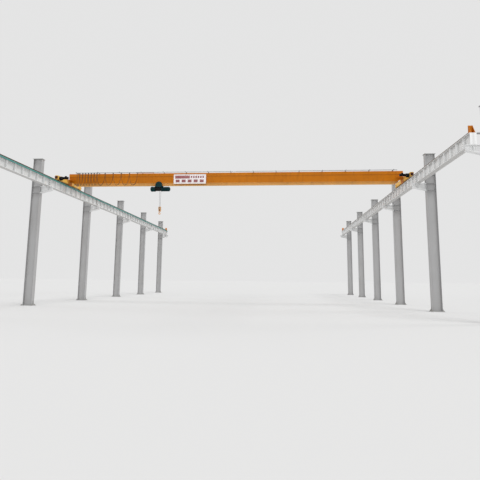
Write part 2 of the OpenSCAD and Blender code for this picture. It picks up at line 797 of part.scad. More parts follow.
// Four-wheeled runner in the track, with the saddle that holds the cable
module cable_trolley(i) {
    head_w = track_c_w - 2 * track_c_t - 4;
    neck_w = track_c_slot - 4;
    floor_z = track_c_z + track_c_t + run_gap;
    saddle_t = 10;
    color("black") translate([trolley_x(i), festoon_y, 0]) {
        translate([-cable_trolley_len / 2 + 12, 0, 0]) along_x(cable_trolley_len - 24)
            translate([-neck_w / 2, cable_z + saddle_t - cut]) square([neck_w, floor_z - cable_z + 8 - saddle_t + cut]);
        for (x = [-1, 1]) translate([x * (cable_trolley_len / 2 - 20), 0, floor_z + 9]) rod_y(9, head_w);
        translate([-cable_trolley_len / 2, -cable_w / 2 - 4, cable_z + run_gap]) cube([cable_trolley_len, cable_w + 8, saddle_t]);
    }
}

// Flat cable in loops, from the fixed clamp to the tow trolley
module festoon_cable() {
    steps = 14;
    flat = 20;
    mid = concat(
        [[clamp_x - flat, 0]],
        [for (i = [1:cable_trolleys]) each half_loop(trolley_x(i - 1) + flat, trolley_x(i) - flat, loop_depth, steps)],
        [[tow_x + flat, 0]]
    );
    last = len(mid) - 1;
    color("black") translate([0, festoon_y, cable_z - cable_t / 2 - run_gap]) slab(cable_w) polygon(concat(
        [for (k = [0:last]) mid[k] + normal_at(mid, k, last) * cable_t / 2],
        [for (k = [last:-1:0]) mid[k] - normal_at(mid, k, last) * cable_t / 2]
    ));
}

function normal_at(points, k, last) =
    let (a = points[max(k - 1, 0)], b = points[min(k + 1, last)], d = b - a, n = norm(d)) [-d[1] / n, d[0] / n];

// Thin board hung on the girder's lip, with two struts behind its lower half
module sign_board() {
    face = girder_w / 2 + sign_t;
    top = girder_top - sign_drop;
    strut_z = lip_z - 2 * trolley_wheel_d;
    strut_t = 6;
    color("white") translate([sign_x, bridge_y, 0]) {
        translate([-sign_len / 2, -face, top - sign_h]) cube([sign_len, sign_t, sign_h]);
        for (x = [-1, 1]) translate([x * sign_len * 0.35 - 15, 0, 0]) along_x(30) polygon([
            [-girder_w / 2 - cut, strut_z], [-wall_y(strut_z), strut_z],
            [-wall_y(strut_z - strut_t), strut_z - strut_t], [-girder_w / 2 - cut, strut_z - strut_t]
        ]);
    }
}

// Spring arm from the left carriage down and under the conductor housing
module current_collector() {
    arm_y = bridge_y + 700;
    arm_top = axle_z + 100;
    head_z = conductor_z - conductor_h;
    inboard = conductor_x - conductor_w / 2 - 40;
    plate = 10;
    color("darkslategray") scale_side(-1) translate([0, arm_y, 0]) {
        slab(50) polygon([
            [carriage_face, arm_top], [inboard, arm_top], [inboard, head_z - 60],
            [conductor_x + 10, head_z - 60], [conductor_x + 10, head_z - pass_gap], [conductor_x - 10, head_z - pass_gap],
            [conductor_x - 10, head_z - 50], [inboard + plate, head_z - 50], [inboard + plate, arm_top - plate],
            [carriage_face, arm_top - plate]
        ]);
        translate([carriage_face - plate, -60, axle_z]) cube([plate, 120, 120]);
    }
}

// Side plate with a round top, shoulders over the wheel pins and a wide foot
module cheek_outline() {
    low = girder_bottom - cheek_drop;
    shoulder = trolley_base / 2 + 3 * trolley_pin_r;
    intersection() {
        translate([0, trolley_axle_z + cheek_rise - cheek_r]) circle(r = cheek_r);
        translate([-cheek_r, low]) square([2 * cheek_r, 2 * cheek_r]);
    }
    polygon([
        [-cheek_w / 2, low], [cheek_w / 2, low], [cheek_w / 2, low + cheek_foot],
        [shoulder, trolley_axle_z + 3 * trolley_pin_r], [-shoulder, trolley_axle_z + 3 * trolley_pin_r], [-cheek_w / 2, low + cheek_foot]
    ]);
}

module trolley_frame() {
    color("darkgreen") translate([trolley_x0, bridge_y, 0]) {
        for (s = [-1, 1]) scale_end(s) translate([0, cheek_y + cheek_t / 2, 0]) difference() {
            slab(cheek_t) cheek_outline();
            for (x = [-1, 1]) translate([x * trolley_base / 2, 0, trolley_axle_z]) rod_y(trolley_pin_r + fit_gap, 2 * cheek_t);
        }
        for (x = [-1, 1]) translate([x * rod_x, 0, rod_z]) rod_y(rod_r, 2 * cheek_y + cheek_t);
    }
}

trolley_pin_r = 14;

// Four small wheels with one flange each, in one piece with the pins that turn in the side plates
module trolley_wheels() {
    tread = trolley_wheel_d / 2 - run_gap;
    flange = 9;
    near = track_w / 2 - trolley_tread;
    far = track_w / 2 + pass_gap;
    color("dimgray") for (x = [-1, 1], s = [-1, 1])
        translate([trolley_x0 + x * trolley_base / 2, bridge_y, trolley_axle_z]) scale_end(s)
            rotate([-90, 0, 0]) rotate_extrude() polygon([
                [0, near], [tread, near], [tread, far], [tread + flange, far + 2], [tread + flange, far + 8],
                [trolley_pin_r * 2, cheek_y - 1], [trolley_pin_r, cheek_y - 1],
                [trolley_pin_r, cheek_y + cheek_t], [0, cheek_y + cheek_t]
            ]);
}

// Gear case on the near side plate, with a crowned front, a round top and a foot cut level over the hoist
module travel_gearbox() {
    crown = travel_box_t * 0.35;
    foot = travel_box_t - crown;
    level = hoist_z + sqrt(pow(housing_r, 2) - pow(cheek_y, 2)) - travel_z;
    color("darkslategray") translate([trolley_x0, bridge_y - cheek_y - cheek_t, travel_z]) rotate([90, 0, 0]) difference() {
        rotate_extrude() polygon([
            [0, 0], [travel_box_r, 0], [travel_box_r, foot * 0.4], [travel_box_r - 6, foot * 0.55], [travel_box_r - 6, foot],
            [travel_box_r * 0.8, foot + crown * 0.7], [travel_box_r * 0.5, travel_box_t], [0, travel_box_t]
        ]);
        translate([-2 * travel_box_r, level - 2 * travel_box_r, -travel_box_t])
            cube([4 * travel_box_r, 2 * travel_box_r, 3 * travel_box_t]);
    }
}

// Ribbed motor on a round flange, on the far side plate
module travel_motor() {
    flange_t = 30;
    color("darkslategray") translate([trolley_x0, bridge_y + cheek_y + cheek_t, travel_z]) rotate([-90, 0, 0]) {
        cylinder(r = travel_motor_r + 25, h = flange_t);
        translate([0, 0, flange_t - cut]) {
            cylinder(r = travel_motor_r, h = travel_motor_len);
            linear_extrude(travel_motor_len * 0.75) motor_ribs(travel_motor_r, 8, 16, 4);
        }
    }
}

// Bar from the trolley's near plate out and up to the last cable trolley
module tow_arm() {
    bar = 20;
    root_x = -trolley_back - cheek_w / 2;
    z = girder_bottom - cheek_drop + cheek_foot - bar;
    low = cable_z;
    reach = bridge_y - cheek_y - cheek_t - festoon_y;
    start = -tow_reach + cable_trolley_len / 2 + run_gap;
    color("darkslategray") translate([hoist_x, bridge_y - cheek_y - cheek_t, 0]) {
        translate([root_x, -reach - bar / 2, z]) cube([bar, reach + bar / 2, bar]);
        translate([root_x, -reach - bar / 2, z]) cube([bar, bar, low - z + bar]);
        translate([start, -reach - bar / 2, low]) cube([root_x + bar - start, bar, bar]);
    }
}

// Half shell over the drum between two end rings, with the fixed end of the rope clamped inside its far edge,
// hung from the trolley's rods by lugs beside the side plates
module hoist_housing() {
    ring = 16;
    len_all = housing_left + housing_right;
    anchor_h = 56;
    lug_t = 6;
    lug_y = cheek_y - lug_t;
    lug_half = rod_r + 12;
    lug_foot = hoist_z + sqrt(pow(housing_r - housing_wall, 2) - pow(lug_y, 2));
    color("darkslategray") translate([hoist_x, bridge_y, 0]) {
        translate([-housing_left, 0, hoist_z]) rotate([90, 0, 90]) {
            linear_extrude(len_all) difference() {
                circle(r = housing_r);
                circle(r = housing_r - housing_wall);
                translate([-2 * housing_r, -2 * housing_r]) square([4 * housing_r, 1.8 * housing_r]);
            }
            for (z = [0, len_all - ring]) translate([0, 0, z]) linear_extrude(ring) difference() {
                circle(r = housing_r);
                circle(r = drum_r - 40 + pass_gap);
            }
        }
        translate([-18, 0, hoist_z]) difference() {
            translate([0, rope_y, -anchor_h / 2]) cube([36, housing_r - housing_wall / 2 - rope_y, anchor_h]);
            translate([18, rope_y, -anchor_h]) cylinder(r = rope_r + fit_gap, h = 2 * anchor_h);
        }
        for (x = [-1, 1], s = [-1, 1]) scale_end(s) translate([x * rod_x - trolley_back, lug_y, 0]) difference() {
            translate([-lug_half, 0, lug_foot]) cube([2 * lug_half, lug_t, rod_z + lug_half - lug_foot]);
            translate([0, 0, rod_z]) rod_y(rod_r + fit_gap, 4 * lug_t);
        }
    }
}

module hoist_drum() {
    ring = 16;
    a = -housing_left + ring + pass_gap;
    b = housing_right - ring - pass_gap;
    turns = floor((b - a - 40) / groove_pitch);
    start = a + 20;
    shaft = drum_r - 40;
    color("black") translate([hoist_x, bridge_y, hoist_z]) turned() polygon(concat(
        [[0, -housing_left + run_gap], [shaft, -housing_left + run_gap], [shaft, a], [drum_r + 10, a], [drum_r + 10, a + 8], [drum_r, a + 8]],
        [for (k = [0:turns - 1]) each [
            [drum_r, start + k * groove_pitch], [drum_r - groove, start + (k + 0.3) * groove_pitch],
            [drum_r - groove, start + (k + 0.6) * groove_pitch], [drum_r, start + (k + 0.9) * groove_pitch]
        ]],
        [[drum_r, b - 8], [drum_r + 10, b - 8], [drum_r + 10, b], [shaft, b], [shaft, housing_right - run_gap], [0, housing_right - run_gap]]
    ));
}

// Ribbed motor barrel with a flange on the drum side and a rounded fan cover outside
module hoist_motor() {
    flange = 24;
    barrel = hoist_motor_len;
    dome = fan_len;
    color("darkcyan") translate([motor_x, bridge_y, hoist_z]) {
        rotate([90, 0, 90]) linear_extrude(flange) circle(r = housing_r - 4);
        rotate([90, 0, 90]) linear_extrude(barrel) {
            circle(r = hoist_motor_r);
            motor_ribs(hoist_motor_r, 12, 30, 5);
        }
        translate([barrel, 0, 0]) turned() polygon([
            [0, -cut], [hoist_motor_r + 12, -cut], [hoist_motor_r + 12, dome * 0.35], [hoist_motor_r + 4, dome * 0.6],
            [hoist_motor_r * 0.85, dome * 0.85], [hoist_motor_r * 0.6, dome], [0, dome]
        ]);
        translate([barrel * 0.3, hoist_motor_r - 8, -60]) cube([130, 44, 120]);
    }
}

// Stepped casting: mounting flange, drum-side case and a smaller end cover
module hoist_gearbox() {
    color("darkcyan") translate([gearbox_x, bridge_y, hoist_z]) scale_side(-1) {
        turned() polygon([
            [0, 0], [gearbox_r, 0], [gearbox_r, 26], [gearbox_r * 0.94, 36], [gearbox_r * 0.94, gearbox_len * 0.56],
            [gearbox_r, gearbox_len * 0.58], [gearbox_r, gearbox_len * 0.7], [gearbox_r * 0.95, gearbox_len * 0.84],
            [gearbox_r * 0.82, gearbox_len * 0.94], [gearbox_r * 0.6, gearbox_len], [0, gearbox_len]
        ]);
        rotate([90, 0, 90]) for (k = [0:5]) rotate(30 + k * 60) translate([gearbox_r * 0.9, 0]) cylinder(r = 16, h = gearbox_len * 0.5);
    }
}

module hoist_ropes() {
    top = hoist_z;
    color("dimgray") translate([hoist_x, bridge_y, sheave_z]) for (s = [-1, 1]) translate([0, s * rope_y, 0])
        cylinder(r = rope_r, h = top - sheave_z, $fn = 24);
}

// Two round-shouldered cheeks joined by a crosshead, with the sheave between them
module hook_block() {
    inner = sheave_t / 2 + block_gap;
    foot = crosshead_drop;
    color("goldenrod") translate([hoist_x, bridge_y, sheave_z]) {
        for (s = [-1, 1]) scale_side(s) translate([inner, 0, 0]) difference() {
            rotate([90, 0, 90]) linear_extrude(block_t) {
                circle(r = block_r);
                polygon([[-block_r * 0.96, -40], [block_r * 0.96, -40], [60, -foot - 30], [-60, -foot - 30]]);
            }
            translate([-cut, 0, 0]) rotate([0, 90, 0]) cylinder(r = pin_r + fit_gap, h = block_t + 2 * cut);
        }
        difference() {
            translate([-inner - cut, -45, -foot - 25]) cube([2 * (inner + cut), 90, 24]);
            translate([0, 0, -foot - 40]) cylinder(r = shank_r + fit_gap, h = 60);
        }
    }
}

// Grooved wheel with its pin
module hook_sheave() {
    half = sheave_t / 2;
    root = rope_y - rope_r - run_gap;
    pin = half + block_gap + block_t + 8;
    color("dimgray") translate([hoist_x, bridge_y, sheave_z]) turned() polygon([
        [0, -pin], [pin_r, -pin], [pin_r, -half], [42, -half], [46, -8], [root - 20, -8], [root - 14, -half], [sheave_rim, -half],
        [sheave_rim, -sheave_groove - 3], [root + rope_r, -sheave_groove], [root, -4], [root, 4], [root + rope_r, sheave_groove],
        [sheave_rim, sheave_groove + 3], [sheave_rim, half], [root - 14, half], [root - 20, 8], [46, 8], [42, half], [pin_r, half],
        [pin_r, pin], [0, pin]
    ]);
}

// Middle of the hook's bar at an angle round its bowl, and the radius of the bar there
function bar_r(a) = a < 180 ? shank_r + (hook_bar - shank_r) * (a - 90) / 90
    : a < 270 ? hook_bar : hook_bar * (1 - 0.72 * pow((a - 270) / 120, 1.4));

function bar_ring(a, sides) = [for (j = [0:sides - 1]) let (b = 360 * j / sides, out = hook_throat + bar_r(a) * cos(b))
    [out * cos(a), bar_r(a) * 0.86 * sin(b), out * sin(a)]];

// Forged single hook, its bar swept round the bowl and thinned towards the tip, on a shank that turns in the crosshead
module hook() {
    nut_r = shank_r + 6;
    seat = sheave_z - crosshead_drop - 25;
    eye = seat - 60 - hook_throat;
    sides = 14;
    rings = [for (a = [90:12:390]) bar_ring(a, sides)];
    last = len(rings) - 1;
    color("goldenrod") translate([hoist_x, bridge_y, 0]) {
        translate([0, 0, eye + hook_throat - 8]) cylinder(r = shank_r, h = seat - eye - hook_throat + 8 + 24 + 8);
        translate([0, 0, seat + 24 + run_gap]) cylinder(r = nut_r, h = 14);
        translate([0, 0, eye]) polyhedron(
            points = [for (ring = rings) each ring],
            faces = concat(
                [[for (j = [0:sides - 1]) j]],
                [for (k = [0:last - 1], j = [0:sides - 1]) let (n = (j + 1) % sides)
                    [k * sides + n, k * sides + j, (k + 1) * sides + j, (k + 1) * sides + n]],
                [[for (j = [sides - 1:-1:0]) last * sides + j]]
            )
        );
    }
}

columns();
base_plates();
cap_plates();
corbels();
tie_plates();
runway_beams(-1);  // left_runway_beams
runway_beams(1);  // right_runway_beams
rail(-1);  // left_rail
rail(1);  // right_rail
end_stops();
conductor_rail();
conductor_brackets();
girder_top_plate();
girder_side_plates();
girder_track_beam();
girder_haunch_plates();
girder_end_plates();
knee_plates();
end_carriage(-1);  // left_end_carriage
end_carriage(1);  // right_end_carriage
drive(-1);  // left_drive
drive(1);  // right_drive
bridge_buffers();
festoon_arms();
festoon_track();
festoon_cable();
sign_board();
current_collector();
crane_wheel(-1, -1);  // left_front_wheel
crane_wheel(-1, 1);  // left_rear_wheel
crane_wheel(1, -1);  // right_front_wheel
crane_wheel(1, 1);  // right_rear_wheel
trolley_frame();
trolley_wheels();
travel_gearbox();
travel_motor();
tow_arm();
hoist_housing();
hoist_drum();
hoist_motor();
hoist_gearbox();
hoist_ropes();
hook_block();
hook_sheave();
hook();
cable_trolley(1);  // cable_trolley_1
cable_trolley(2);  // cable_trolley_2
cable_trolley(3);  // cable_trolley_3
cable_trolley(4);  // cable_trolley_4
cable_trolley(5);  // cable_trolley_5
cable_trolley(6);  // cable_trolley_6
cable_trolley(7);  // cable_trolley_7
cable_trolley(8);  // cable_trolley_8
cable_trolley(9);  // cable_trolley_9
cable_trolley(10);  // cable_trolley_10
cable_trolley(11);  // cable_trolley_11
cable_trolley(12);  // cable_trolley_12
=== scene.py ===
import json
import math

import bmesh
import bpy
from mathutils import Matrix, Vector


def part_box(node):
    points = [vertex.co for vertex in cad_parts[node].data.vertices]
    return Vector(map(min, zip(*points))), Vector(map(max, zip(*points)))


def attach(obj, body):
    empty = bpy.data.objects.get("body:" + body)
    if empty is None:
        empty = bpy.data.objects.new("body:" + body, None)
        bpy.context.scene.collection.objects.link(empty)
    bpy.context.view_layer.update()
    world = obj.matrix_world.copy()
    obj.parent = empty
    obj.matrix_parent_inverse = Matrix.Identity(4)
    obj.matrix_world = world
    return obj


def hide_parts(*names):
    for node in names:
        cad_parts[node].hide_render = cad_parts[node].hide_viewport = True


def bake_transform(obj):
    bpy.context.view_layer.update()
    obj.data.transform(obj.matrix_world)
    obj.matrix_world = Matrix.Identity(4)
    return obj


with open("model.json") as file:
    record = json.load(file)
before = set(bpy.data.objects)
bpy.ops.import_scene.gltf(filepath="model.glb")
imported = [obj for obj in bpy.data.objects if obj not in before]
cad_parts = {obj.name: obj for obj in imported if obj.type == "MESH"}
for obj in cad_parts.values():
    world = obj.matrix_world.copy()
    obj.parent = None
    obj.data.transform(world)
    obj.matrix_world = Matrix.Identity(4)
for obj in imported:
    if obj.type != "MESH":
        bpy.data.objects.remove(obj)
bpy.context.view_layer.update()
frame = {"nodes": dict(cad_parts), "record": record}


def middle(node):
    """The middle of a node's box at rest."""
    low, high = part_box(node)
    return (low + high) / 2


# Sizes in metres that the dressed pieces share with the construction
SIDES = (-1, 1)
SPAN = 22.5
BAY = 7.5
BAYS = 5
RAIL_TOP = 8.0
COLUMN_OFFSET = 0.75
COLUMN_DEPTH = 0.55
BEAM_FLANGE = 0.016
BEAM_WEB_HALF = 0.005
WALL_LOW_HALF = 0.094
LIP_PLATE = 0.008
HAUNCH_START = 10.611
CABLE_TROLLEYS = 12
SADDLE_HALF = 0.020
ROPE_RADIUS = 0.0065
# The near fall leaves the drum this far beside the middle of the sheave, clear of the far fall's anchor.
FLEET = 0.0260

# Places read from the frame
RAIL_X = SPAN / 2
COLUMN_X = RAIL_X + COLUMN_OFFSET
COLUMN_ROWS = [(row - BAYS / 2) * BAY for row in range(BAYS + 1)]
BRIDGE_Y = middle("girder_top_plate").y
GIRDER_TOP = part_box("girder_top_plate")[1].z
LIP_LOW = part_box("girder_top_plate")[0].z
GIRDER_HALF = (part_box("girder_top_plate")[1].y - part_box("girder_top_plate")[0].y) / 2
GIRDER_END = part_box("girder_top_plate")[1].x
WALL_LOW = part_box("girder_side_plates")[0].z
HAUNCH_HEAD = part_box("girder_haunch_plates")[1].z
TRACK_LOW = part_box("girder_track_beam")[0].z
BEAM_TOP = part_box("right_runway_beams")[1].z
BEAM_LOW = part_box("right_runway_beams")[0].z
RAIL_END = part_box("right_rail")[1].y
WHEEL_BASE = middle("right_rear_wheel").y - middle("right_front_wheel").y
AXLE_Z = middle("right_front_wheel").z
HOIST_X = middle("hook_sheave").x
HOIST_Z = middle("hoist_drum").z
SHEAVE_Z = middle("hook_sheave").z
FESTOON_Y = middle("festoon_track").y
ROPE_REACH = (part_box("hoist_ropes")[1].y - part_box("hoist_ropes")[0].y) / 2 - ROPE_RADIUS


# Shader nodes


def effect_group(name, numbers, results):
    """A shader group fed by a vector and named numbers, with its inner sockets: given and wanted."""
    group = bpy.data.node_groups.new(name, "ShaderNodeTree")
    group.interface.new_socket("Vector", in_out="INPUT", socket_type="NodeSocketVector")
    for label, value in numbers.items():
        socket = group.interface.new_socket(label, in_out="INPUT", socket_type="NodeSocketFloat")
        socket.default_value = value
    for label in results:
        group.interface.new_socket(label, in_out="OUTPUT", socket_type="NodeSocketFloat")
    return group, group.nodes.new("NodeGroupInput").outputs, group.nodes.new("NodeGroupOutput").inputs


def add(tree, kind, **settings):
    """A node of one kind with its settings."""
    node = tree.nodes.new(kind)
    for key, value in settings.items():
        setattr(node, key, value)
    return node


def feed(tree, socket, value):
    """Links a socket to a value, or sets it where the value is a number or colour."""
    if isinstance(value, bpy.types.NodeSocket):
        tree.links.new(value, socket)
    else:
        socket.default_value = value


def fed(tree, node, **values):
    """A node whose named inputs are fed; an underscore in a name stands for a space."""
    for key, value in values.items():
        feed(tree, node.inputs[key.replace("_", " ")], value)
    return node


def math_node(tree, operation, *values, clamp=False):
    node = add(tree, "ShaderNodeMath", operation=operation, use_clamp=clamp)
    for socket, value in zip(node.inputs, values):
        feed(tree, socket, value)
    return node.outputs[0]


def times(tree, first, second, clamp=False):
    return math_node(tree, "MULTIPLY", first, second, clamp=clamp)


def noise(tree, vector, scale, detail=3.0, roughness=0.55):
    node = add(tree, "ShaderNodeTexNoise")
    return fed(tree, node, Vector=vector, Scale=scale, Detail=detail, Roughness=roughness).outputs["Fac"]


def stretched(tree, vector, scale):
    return fed(tree, add(tree, "ShaderNodeMapping"), Vector=vector, Scale=scale).outputs["Vector"]


def ramp(tree, value, low, high):
    """Rises from 0 at the low value to 1 at the high one."""
    node = add(tree, "ShaderNodeMapRange", clamp=True)
    return fed(tree, node, Value=value, From_Min=low, From_Max=high).outputs["Result"]


def parts_of(tree, vector):
    """The X, Y and Z of a vector."""
    return fed(tree, add(tree, "ShaderNodeSeparateXYZ"), Vector=vector).outputs


def mix_colour(tree, factor, first, second):
    """Mixes two colours, each a socket or a red, green and blue."""
    node = add(tree, "ShaderNodeMix", data_type="RGBA")
    feed(tree, node.inputs["Factor"], factor)
    for key, value in (("A", first), ("B", second)):
        socket = next(s for s in node.inputs if s.name == key and s.type == "RGBA")
        feed(tree, socket, value + (1.0,) if isinstance(value, tuple) else value)
    return next(s for s in node.outputs if s.type == "RGBA")


def add_relief(tree, shader, height, strength, distance):
    """A bump node between a height and the shader's normal."""
    node = fed(tree, add(tree, "ShaderNodeBump"), Strength=strength, Distance=distance, Height=height)
    tree.links.new(node.outputs["Normal"], shader.inputs["Normal"])


def make_dirt_group():
    """Blotches of dust and rain-like runs down upright faces."""
    group, given, wanted = effect_group(
        "Dust and runs", {"Blotch Scale": 1.5, "Run Scale": 1.0, "Amount": 0.5}, ("Mask", "Tint"))
    vector = given["Vector"]
    blotch = ramp(group, noise(group, vector, given["Blotch Scale"], 5.0, 0.6), 0.42, 0.72)
    runs = noise(group, stretched(group, vector, (9.0, 9.0, 0.7)), given["Run Scale"], 4.0, 0.5)
    runs = ramp(group, runs, 0.50, 0.78)
    both = math_node(group, "ADD", times(group, blotch, 0.6), times(group, runs, 0.7), clamp=True)
    group.links.new(times(group, both, given["Amount"]), wanted["Mask"])
    group.links.new(noise(group, vector, 0.35, 2.0), wanted["Tint"])
    return group


def make_skin_group():
    """Small-scale height and gloss change, from sprayed paint to rolled scale."""
    group, given, wanted = effect_group(
        "Surface skin", {"Grain Scale": 120.0, "Wave Scale": 3.0, "Wave Height": 0.5}, ("Height", "Gloss"))
    vector = given["Vector"]
    grain = noise(group, vector, given["Grain Scale"], 2.0)
    wave = noise(group, vector, given["Wave Scale"], 2.0)
    height = math_node(group, "ADD", times(group, grain, 0.25), times(group, wave, given["Wave Height"]))
    group.links.new(height, wanted["Height"])
    group.links.new(ramp(group, wave, 0.3, 0.7), wanted["Gloss"])
    return group


def make_scuff_group():
    """Sparse chips and scratches, as on steel that is knocked about."""
    group, given, wanted = effect_group("Chips and scratches", {"Scale": 30.0, "Amount": 0.3}, ("Mask",))
    vector = given["Vector"]
    cells = ramp(group, noise(group, vector, given["Scale"], 8.0, 0.75), 0.60, 0.66)
    patch = ramp(group, noise(group, vector, 1.7, 2.0), 0.48, 0.62)
    chipped = times(group, times(group, cells, patch), given["Amount"], clamp=True)
    group.links.new(chipped, wanted["Mask"])
    return group


DIRT = make_dirt_group()
SKIN = make_skin_group()
SCUFF = make_scuff_group()


def placed(tree, group, vector, **values):
    """An effect group in a material, with its values."""
    return fed(tree, add(tree, "ShaderNodeGroup", node_tree=group), Vector=vector, **values).outputs


def new_material(name):
    """A material with its tree and its shader."""
    material = bpy.data.materials.new(name)
    material.use_nodes = True
    return material, material.node_tree, material.node_tree.nodes["Principled BSDF"]


def finish_material(name, colour, dirt_and_shade, bare, roughness=0.42, metal=0.0, coat=0.0, specular=0.5,
                    blotch=1.5, run=1.0, dirt_amount=0.4, chips=0.3, chip_scale=30.0, grain=120.0,
                    wave=3.0, wave_height=0.5, bump=0.10, tint=0.15, lip_shade=None, web_shade=None, soffit_shade=0.0):
    """A steel finish: base colour with slow tint change, dust and runs, chips to bare metal, and a skin.

    Below a lip, given as its height and a depth, a patchy line of painted shade fades out downwards. Around
    an upright beam plate, given as its distance from the middle, its flange's reach and an amount, painted
    shade darkens the recess and fades out on the plates that stand out from it. Faces that point down get
    painted shade by their own amount.
    """
    material, tree, shader = new_material(name)
    vector = add(tree, "ShaderNodeTexCoord").outputs["Object"]
    grime = placed(tree, DIRT, vector, Blotch_Scale=blotch, Run_Scale=run, Amount=dirt_amount)
    skin = placed(tree, SKIN, vector, Grain_Scale=grain, Wave_Scale=wave, Wave_Height=wave_height)
    scuff = placed(tree, SCUFF, vector, Scale=chip_scale, Amount=chips)
    dark = tuple(c * (1 - 2 * tint) for c in colour)
    light = tuple(min(1.0, c * (1 + tint)) for c in colour)
    base = mix_colour(tree, grime["Tint"], dark, light)
    base = mix_colour(tree, grime["Mask"], base, dirt_and_shade)
    base = mix_colour(tree, scuff["Mask"], base, bare)
    # Painted shade: a patchy dark line just under the lip, fading out downwards
    if lip_shade:
        height, depth = lip_shade
        under = ramp(tree, parts_of(tree, vector)["Z"], height - depth, height)
        patchy = ramp(tree, noise(tree, stretched(tree, vector, (0.8, 0.8, 2.0)), 1.0), 0.1, 0.7)
        base = mix_colour(tree, times(tree, times(tree, under, patchy), 0.75), base, dirt_and_shade)
    # Painted shade: darker towards the beam's recess, lighter on the plates that stand out from it
    if web_shade:
        beam_x, reach, amount = web_shade
        off_web = math_node(tree, "ABSOLUTE", parts_of(tree, vector)["X"])
        off_web = math_node(tree, "ABSOLUTE", math_node(tree, "SUBTRACT", off_web, beam_x))
        recess_shade = math_node(tree, "SUBTRACT", 1.0, ramp(tree, off_web, 0.0, reach))
        base = mix_colour(tree, times(tree, recess_shade, amount), base, dirt_and_shade)
    # Painted shade on faces that point downwards
    if soffit_shade:
        normal = add(tree, "ShaderNodeNewGeometry").outputs["Normal"]
        below = ramp(tree, times(tree, parts_of(tree, normal)["Z"], -1.0), 0.5, 0.9)
        base = mix_colour(tree, times(tree, below, soffit_shade), base, dirt_and_shade)
    gloss = math_node(tree, "MULTIPLY_ADD", skin["Gloss"], 0.12, roughness - 0.06)
    gloss = math_node(tree, "ADD", gloss, times(tree, grime["Mask"], 0.35), clamp=True)
    fed(tree, shader, Base_Color=base, Roughness=gloss, Metallic=metal, Coat_Weight=coat,
        Coat_Roughness=0.12, Specular_IOR_Level=specular)
    add_relief(tree, shader, skin["Height"], bump, 0.004)
    return material


# Finishes: each has its colour, the colour it soils to, which some also use for painted shade, and what shows
# where it is chipped

CRANE_COAT = dict(specular=0.15, blotch=0.8, run=0.9, chips=0.25, wave=1.2, wave_height=1.2, tint=0.08)
YELLOW = finish_material(
    "crane_yellow_paint", (0.60, 0.182, 0.002), (0.26, 0.095, 0.012), (0.20, 0.12, 0.08), **CRANE_COAT)
# The girder's side plates: the crane yellow with a line of painted shade under the lip
LIP_SHADED_WALL_YELLOW = finish_material(
    "girder_wall_paint_with_lip_shade", (0.60, 0.182, 0.002), (0.26, 0.080, 0.008), (0.20, 0.12, 0.08),
    lip_shade=(LIP_LOW, 0.110), **CRANE_COAT)
# Paler yellow: painted floor light on the running flange, over worn, dusty paint
FLOOR_LIT_FLANGE_YELLOW = finish_material(
    "flange_paint_with_painted_floor_light", (0.78, 0.42, 0.110), (0.42, 0.26, 0.12), (0.42, 0.38, 0.33), roughness=0.45,
    specular=0.25, blotch=1.6, run=0.8, dirt_amount=0.45, chips=0.5, chip_scale=22.0, wave=2.0,
    wave_height=0.8, bump=0.12, tint=0.08)
# Lighter yellow than the girder's: painted window light on the end carriages
LIT_CARRIAGE_YELLOW = finish_material(
    "carriage_yellow_with_painted_light", (0.92, 0.54, 0.110), (0.42, 0.22, 0.07), (0.26, 0.19, 0.13), specular=0.2,
    blotch=1.3, run=0.9, wave=1.5, wave_height=1.0, tint=0.06)
STRUCTURE_COAT = dict(roughness=0.55, blotch=0.5, run=0.5, wave=1.5, wave_height=0.6, bump=0.06, tint=0.02)
WHITE = finish_material(
    "structure_white_paint", (0.84, 0.845, 0.845), (0.46, 0.45, 0.435), (0.46, 0.41, 0.37),
    dirt_amount=0.14, chips=0.08, **STRUCTURE_COAT)
# The runway beams' white, with painted shade in the recesses and on faces that point down
SHADED_BEAM_WHITE = finish_material(
    "runway_white_paint_with_painted_shade", (0.90, 0.905, 0.905), (0.50, 0.49, 0.475), (0.46, 0.41, 0.37), dirt_amount=0.12,
    chips=0.06, web_shade=(RAIL_X, 0.085, 0.34), soffit_shade=0.85, **STRUCTURE_COAT)
# Grey: painted shade on the white columns
SHADED_COLUMN_WHITE = finish_material(
    "column_white_with_painted_shade", (0.44, 0.44, 0.442), (0.32, 0.305, 0.29), (0.36, 0.31, 0.27),
    roughness=0.6, blotch=0.6, run=0.6, dirt_amount=0.30, chips=0.15, wave=1.5, wave_height=0.6,
    bump=0.12, tint=0.03)
GREY = finish_material(
    "primer_grey_paint", (0.46, 0.465, 0.46), (0.24, 0.22, 0.19), (0.28, 0.2, 0.15), roughness=0.6,
    blotch=1.4, dirt_amount=0.5, chips=0.35, bump=0.15, tint=0.05)
RAIL = finish_material(
    "rolled_rail_steel", (0.20, 0.155, 0.13), (0.10, 0.055, 0.035), (0.5, 0.48, 0.46), roughness=0.55,
    metal=0.7, blotch=2.2, run=0.6, dirt_amount=0.6, chips=0.5, chip_scale=18.0, bump=0.25, tint=0.12)
BRIGHT = finish_material(
    "worn_bright_steel", (0.56, 0.55, 0.53), (0.22, 0.17, 0.13), (0.7, 0.69, 0.68), roughness=0.30,
    metal=1.0, blotch=5.0, dirt_amount=0.35, chips=0.2, grain=300.0, bump=0.08, tint=0.08)
ZINC = finish_material(
    "zinc_plated_steel", (0.38, 0.39, 0.40), (0.20, 0.19, 0.17), (0.52, 0.52, 0.53), roughness=0.45,
    metal=0.7, blotch=14.0, dirt_amount=0.35, chips=0.25, chip_scale=60.0, grain=220.0, tint=0.10)
BLACK = finish_material(
    "motor_black_paint", (0.005, 0.005, 0.006), (0.024, 0.021, 0.018), (0.10, 0.095, 0.09),
    roughness=0.48, specular=0.10, blotch=6.0, dirt_amount=0.25, chips=0.2, chip_scale=70.0, bump=0.2)
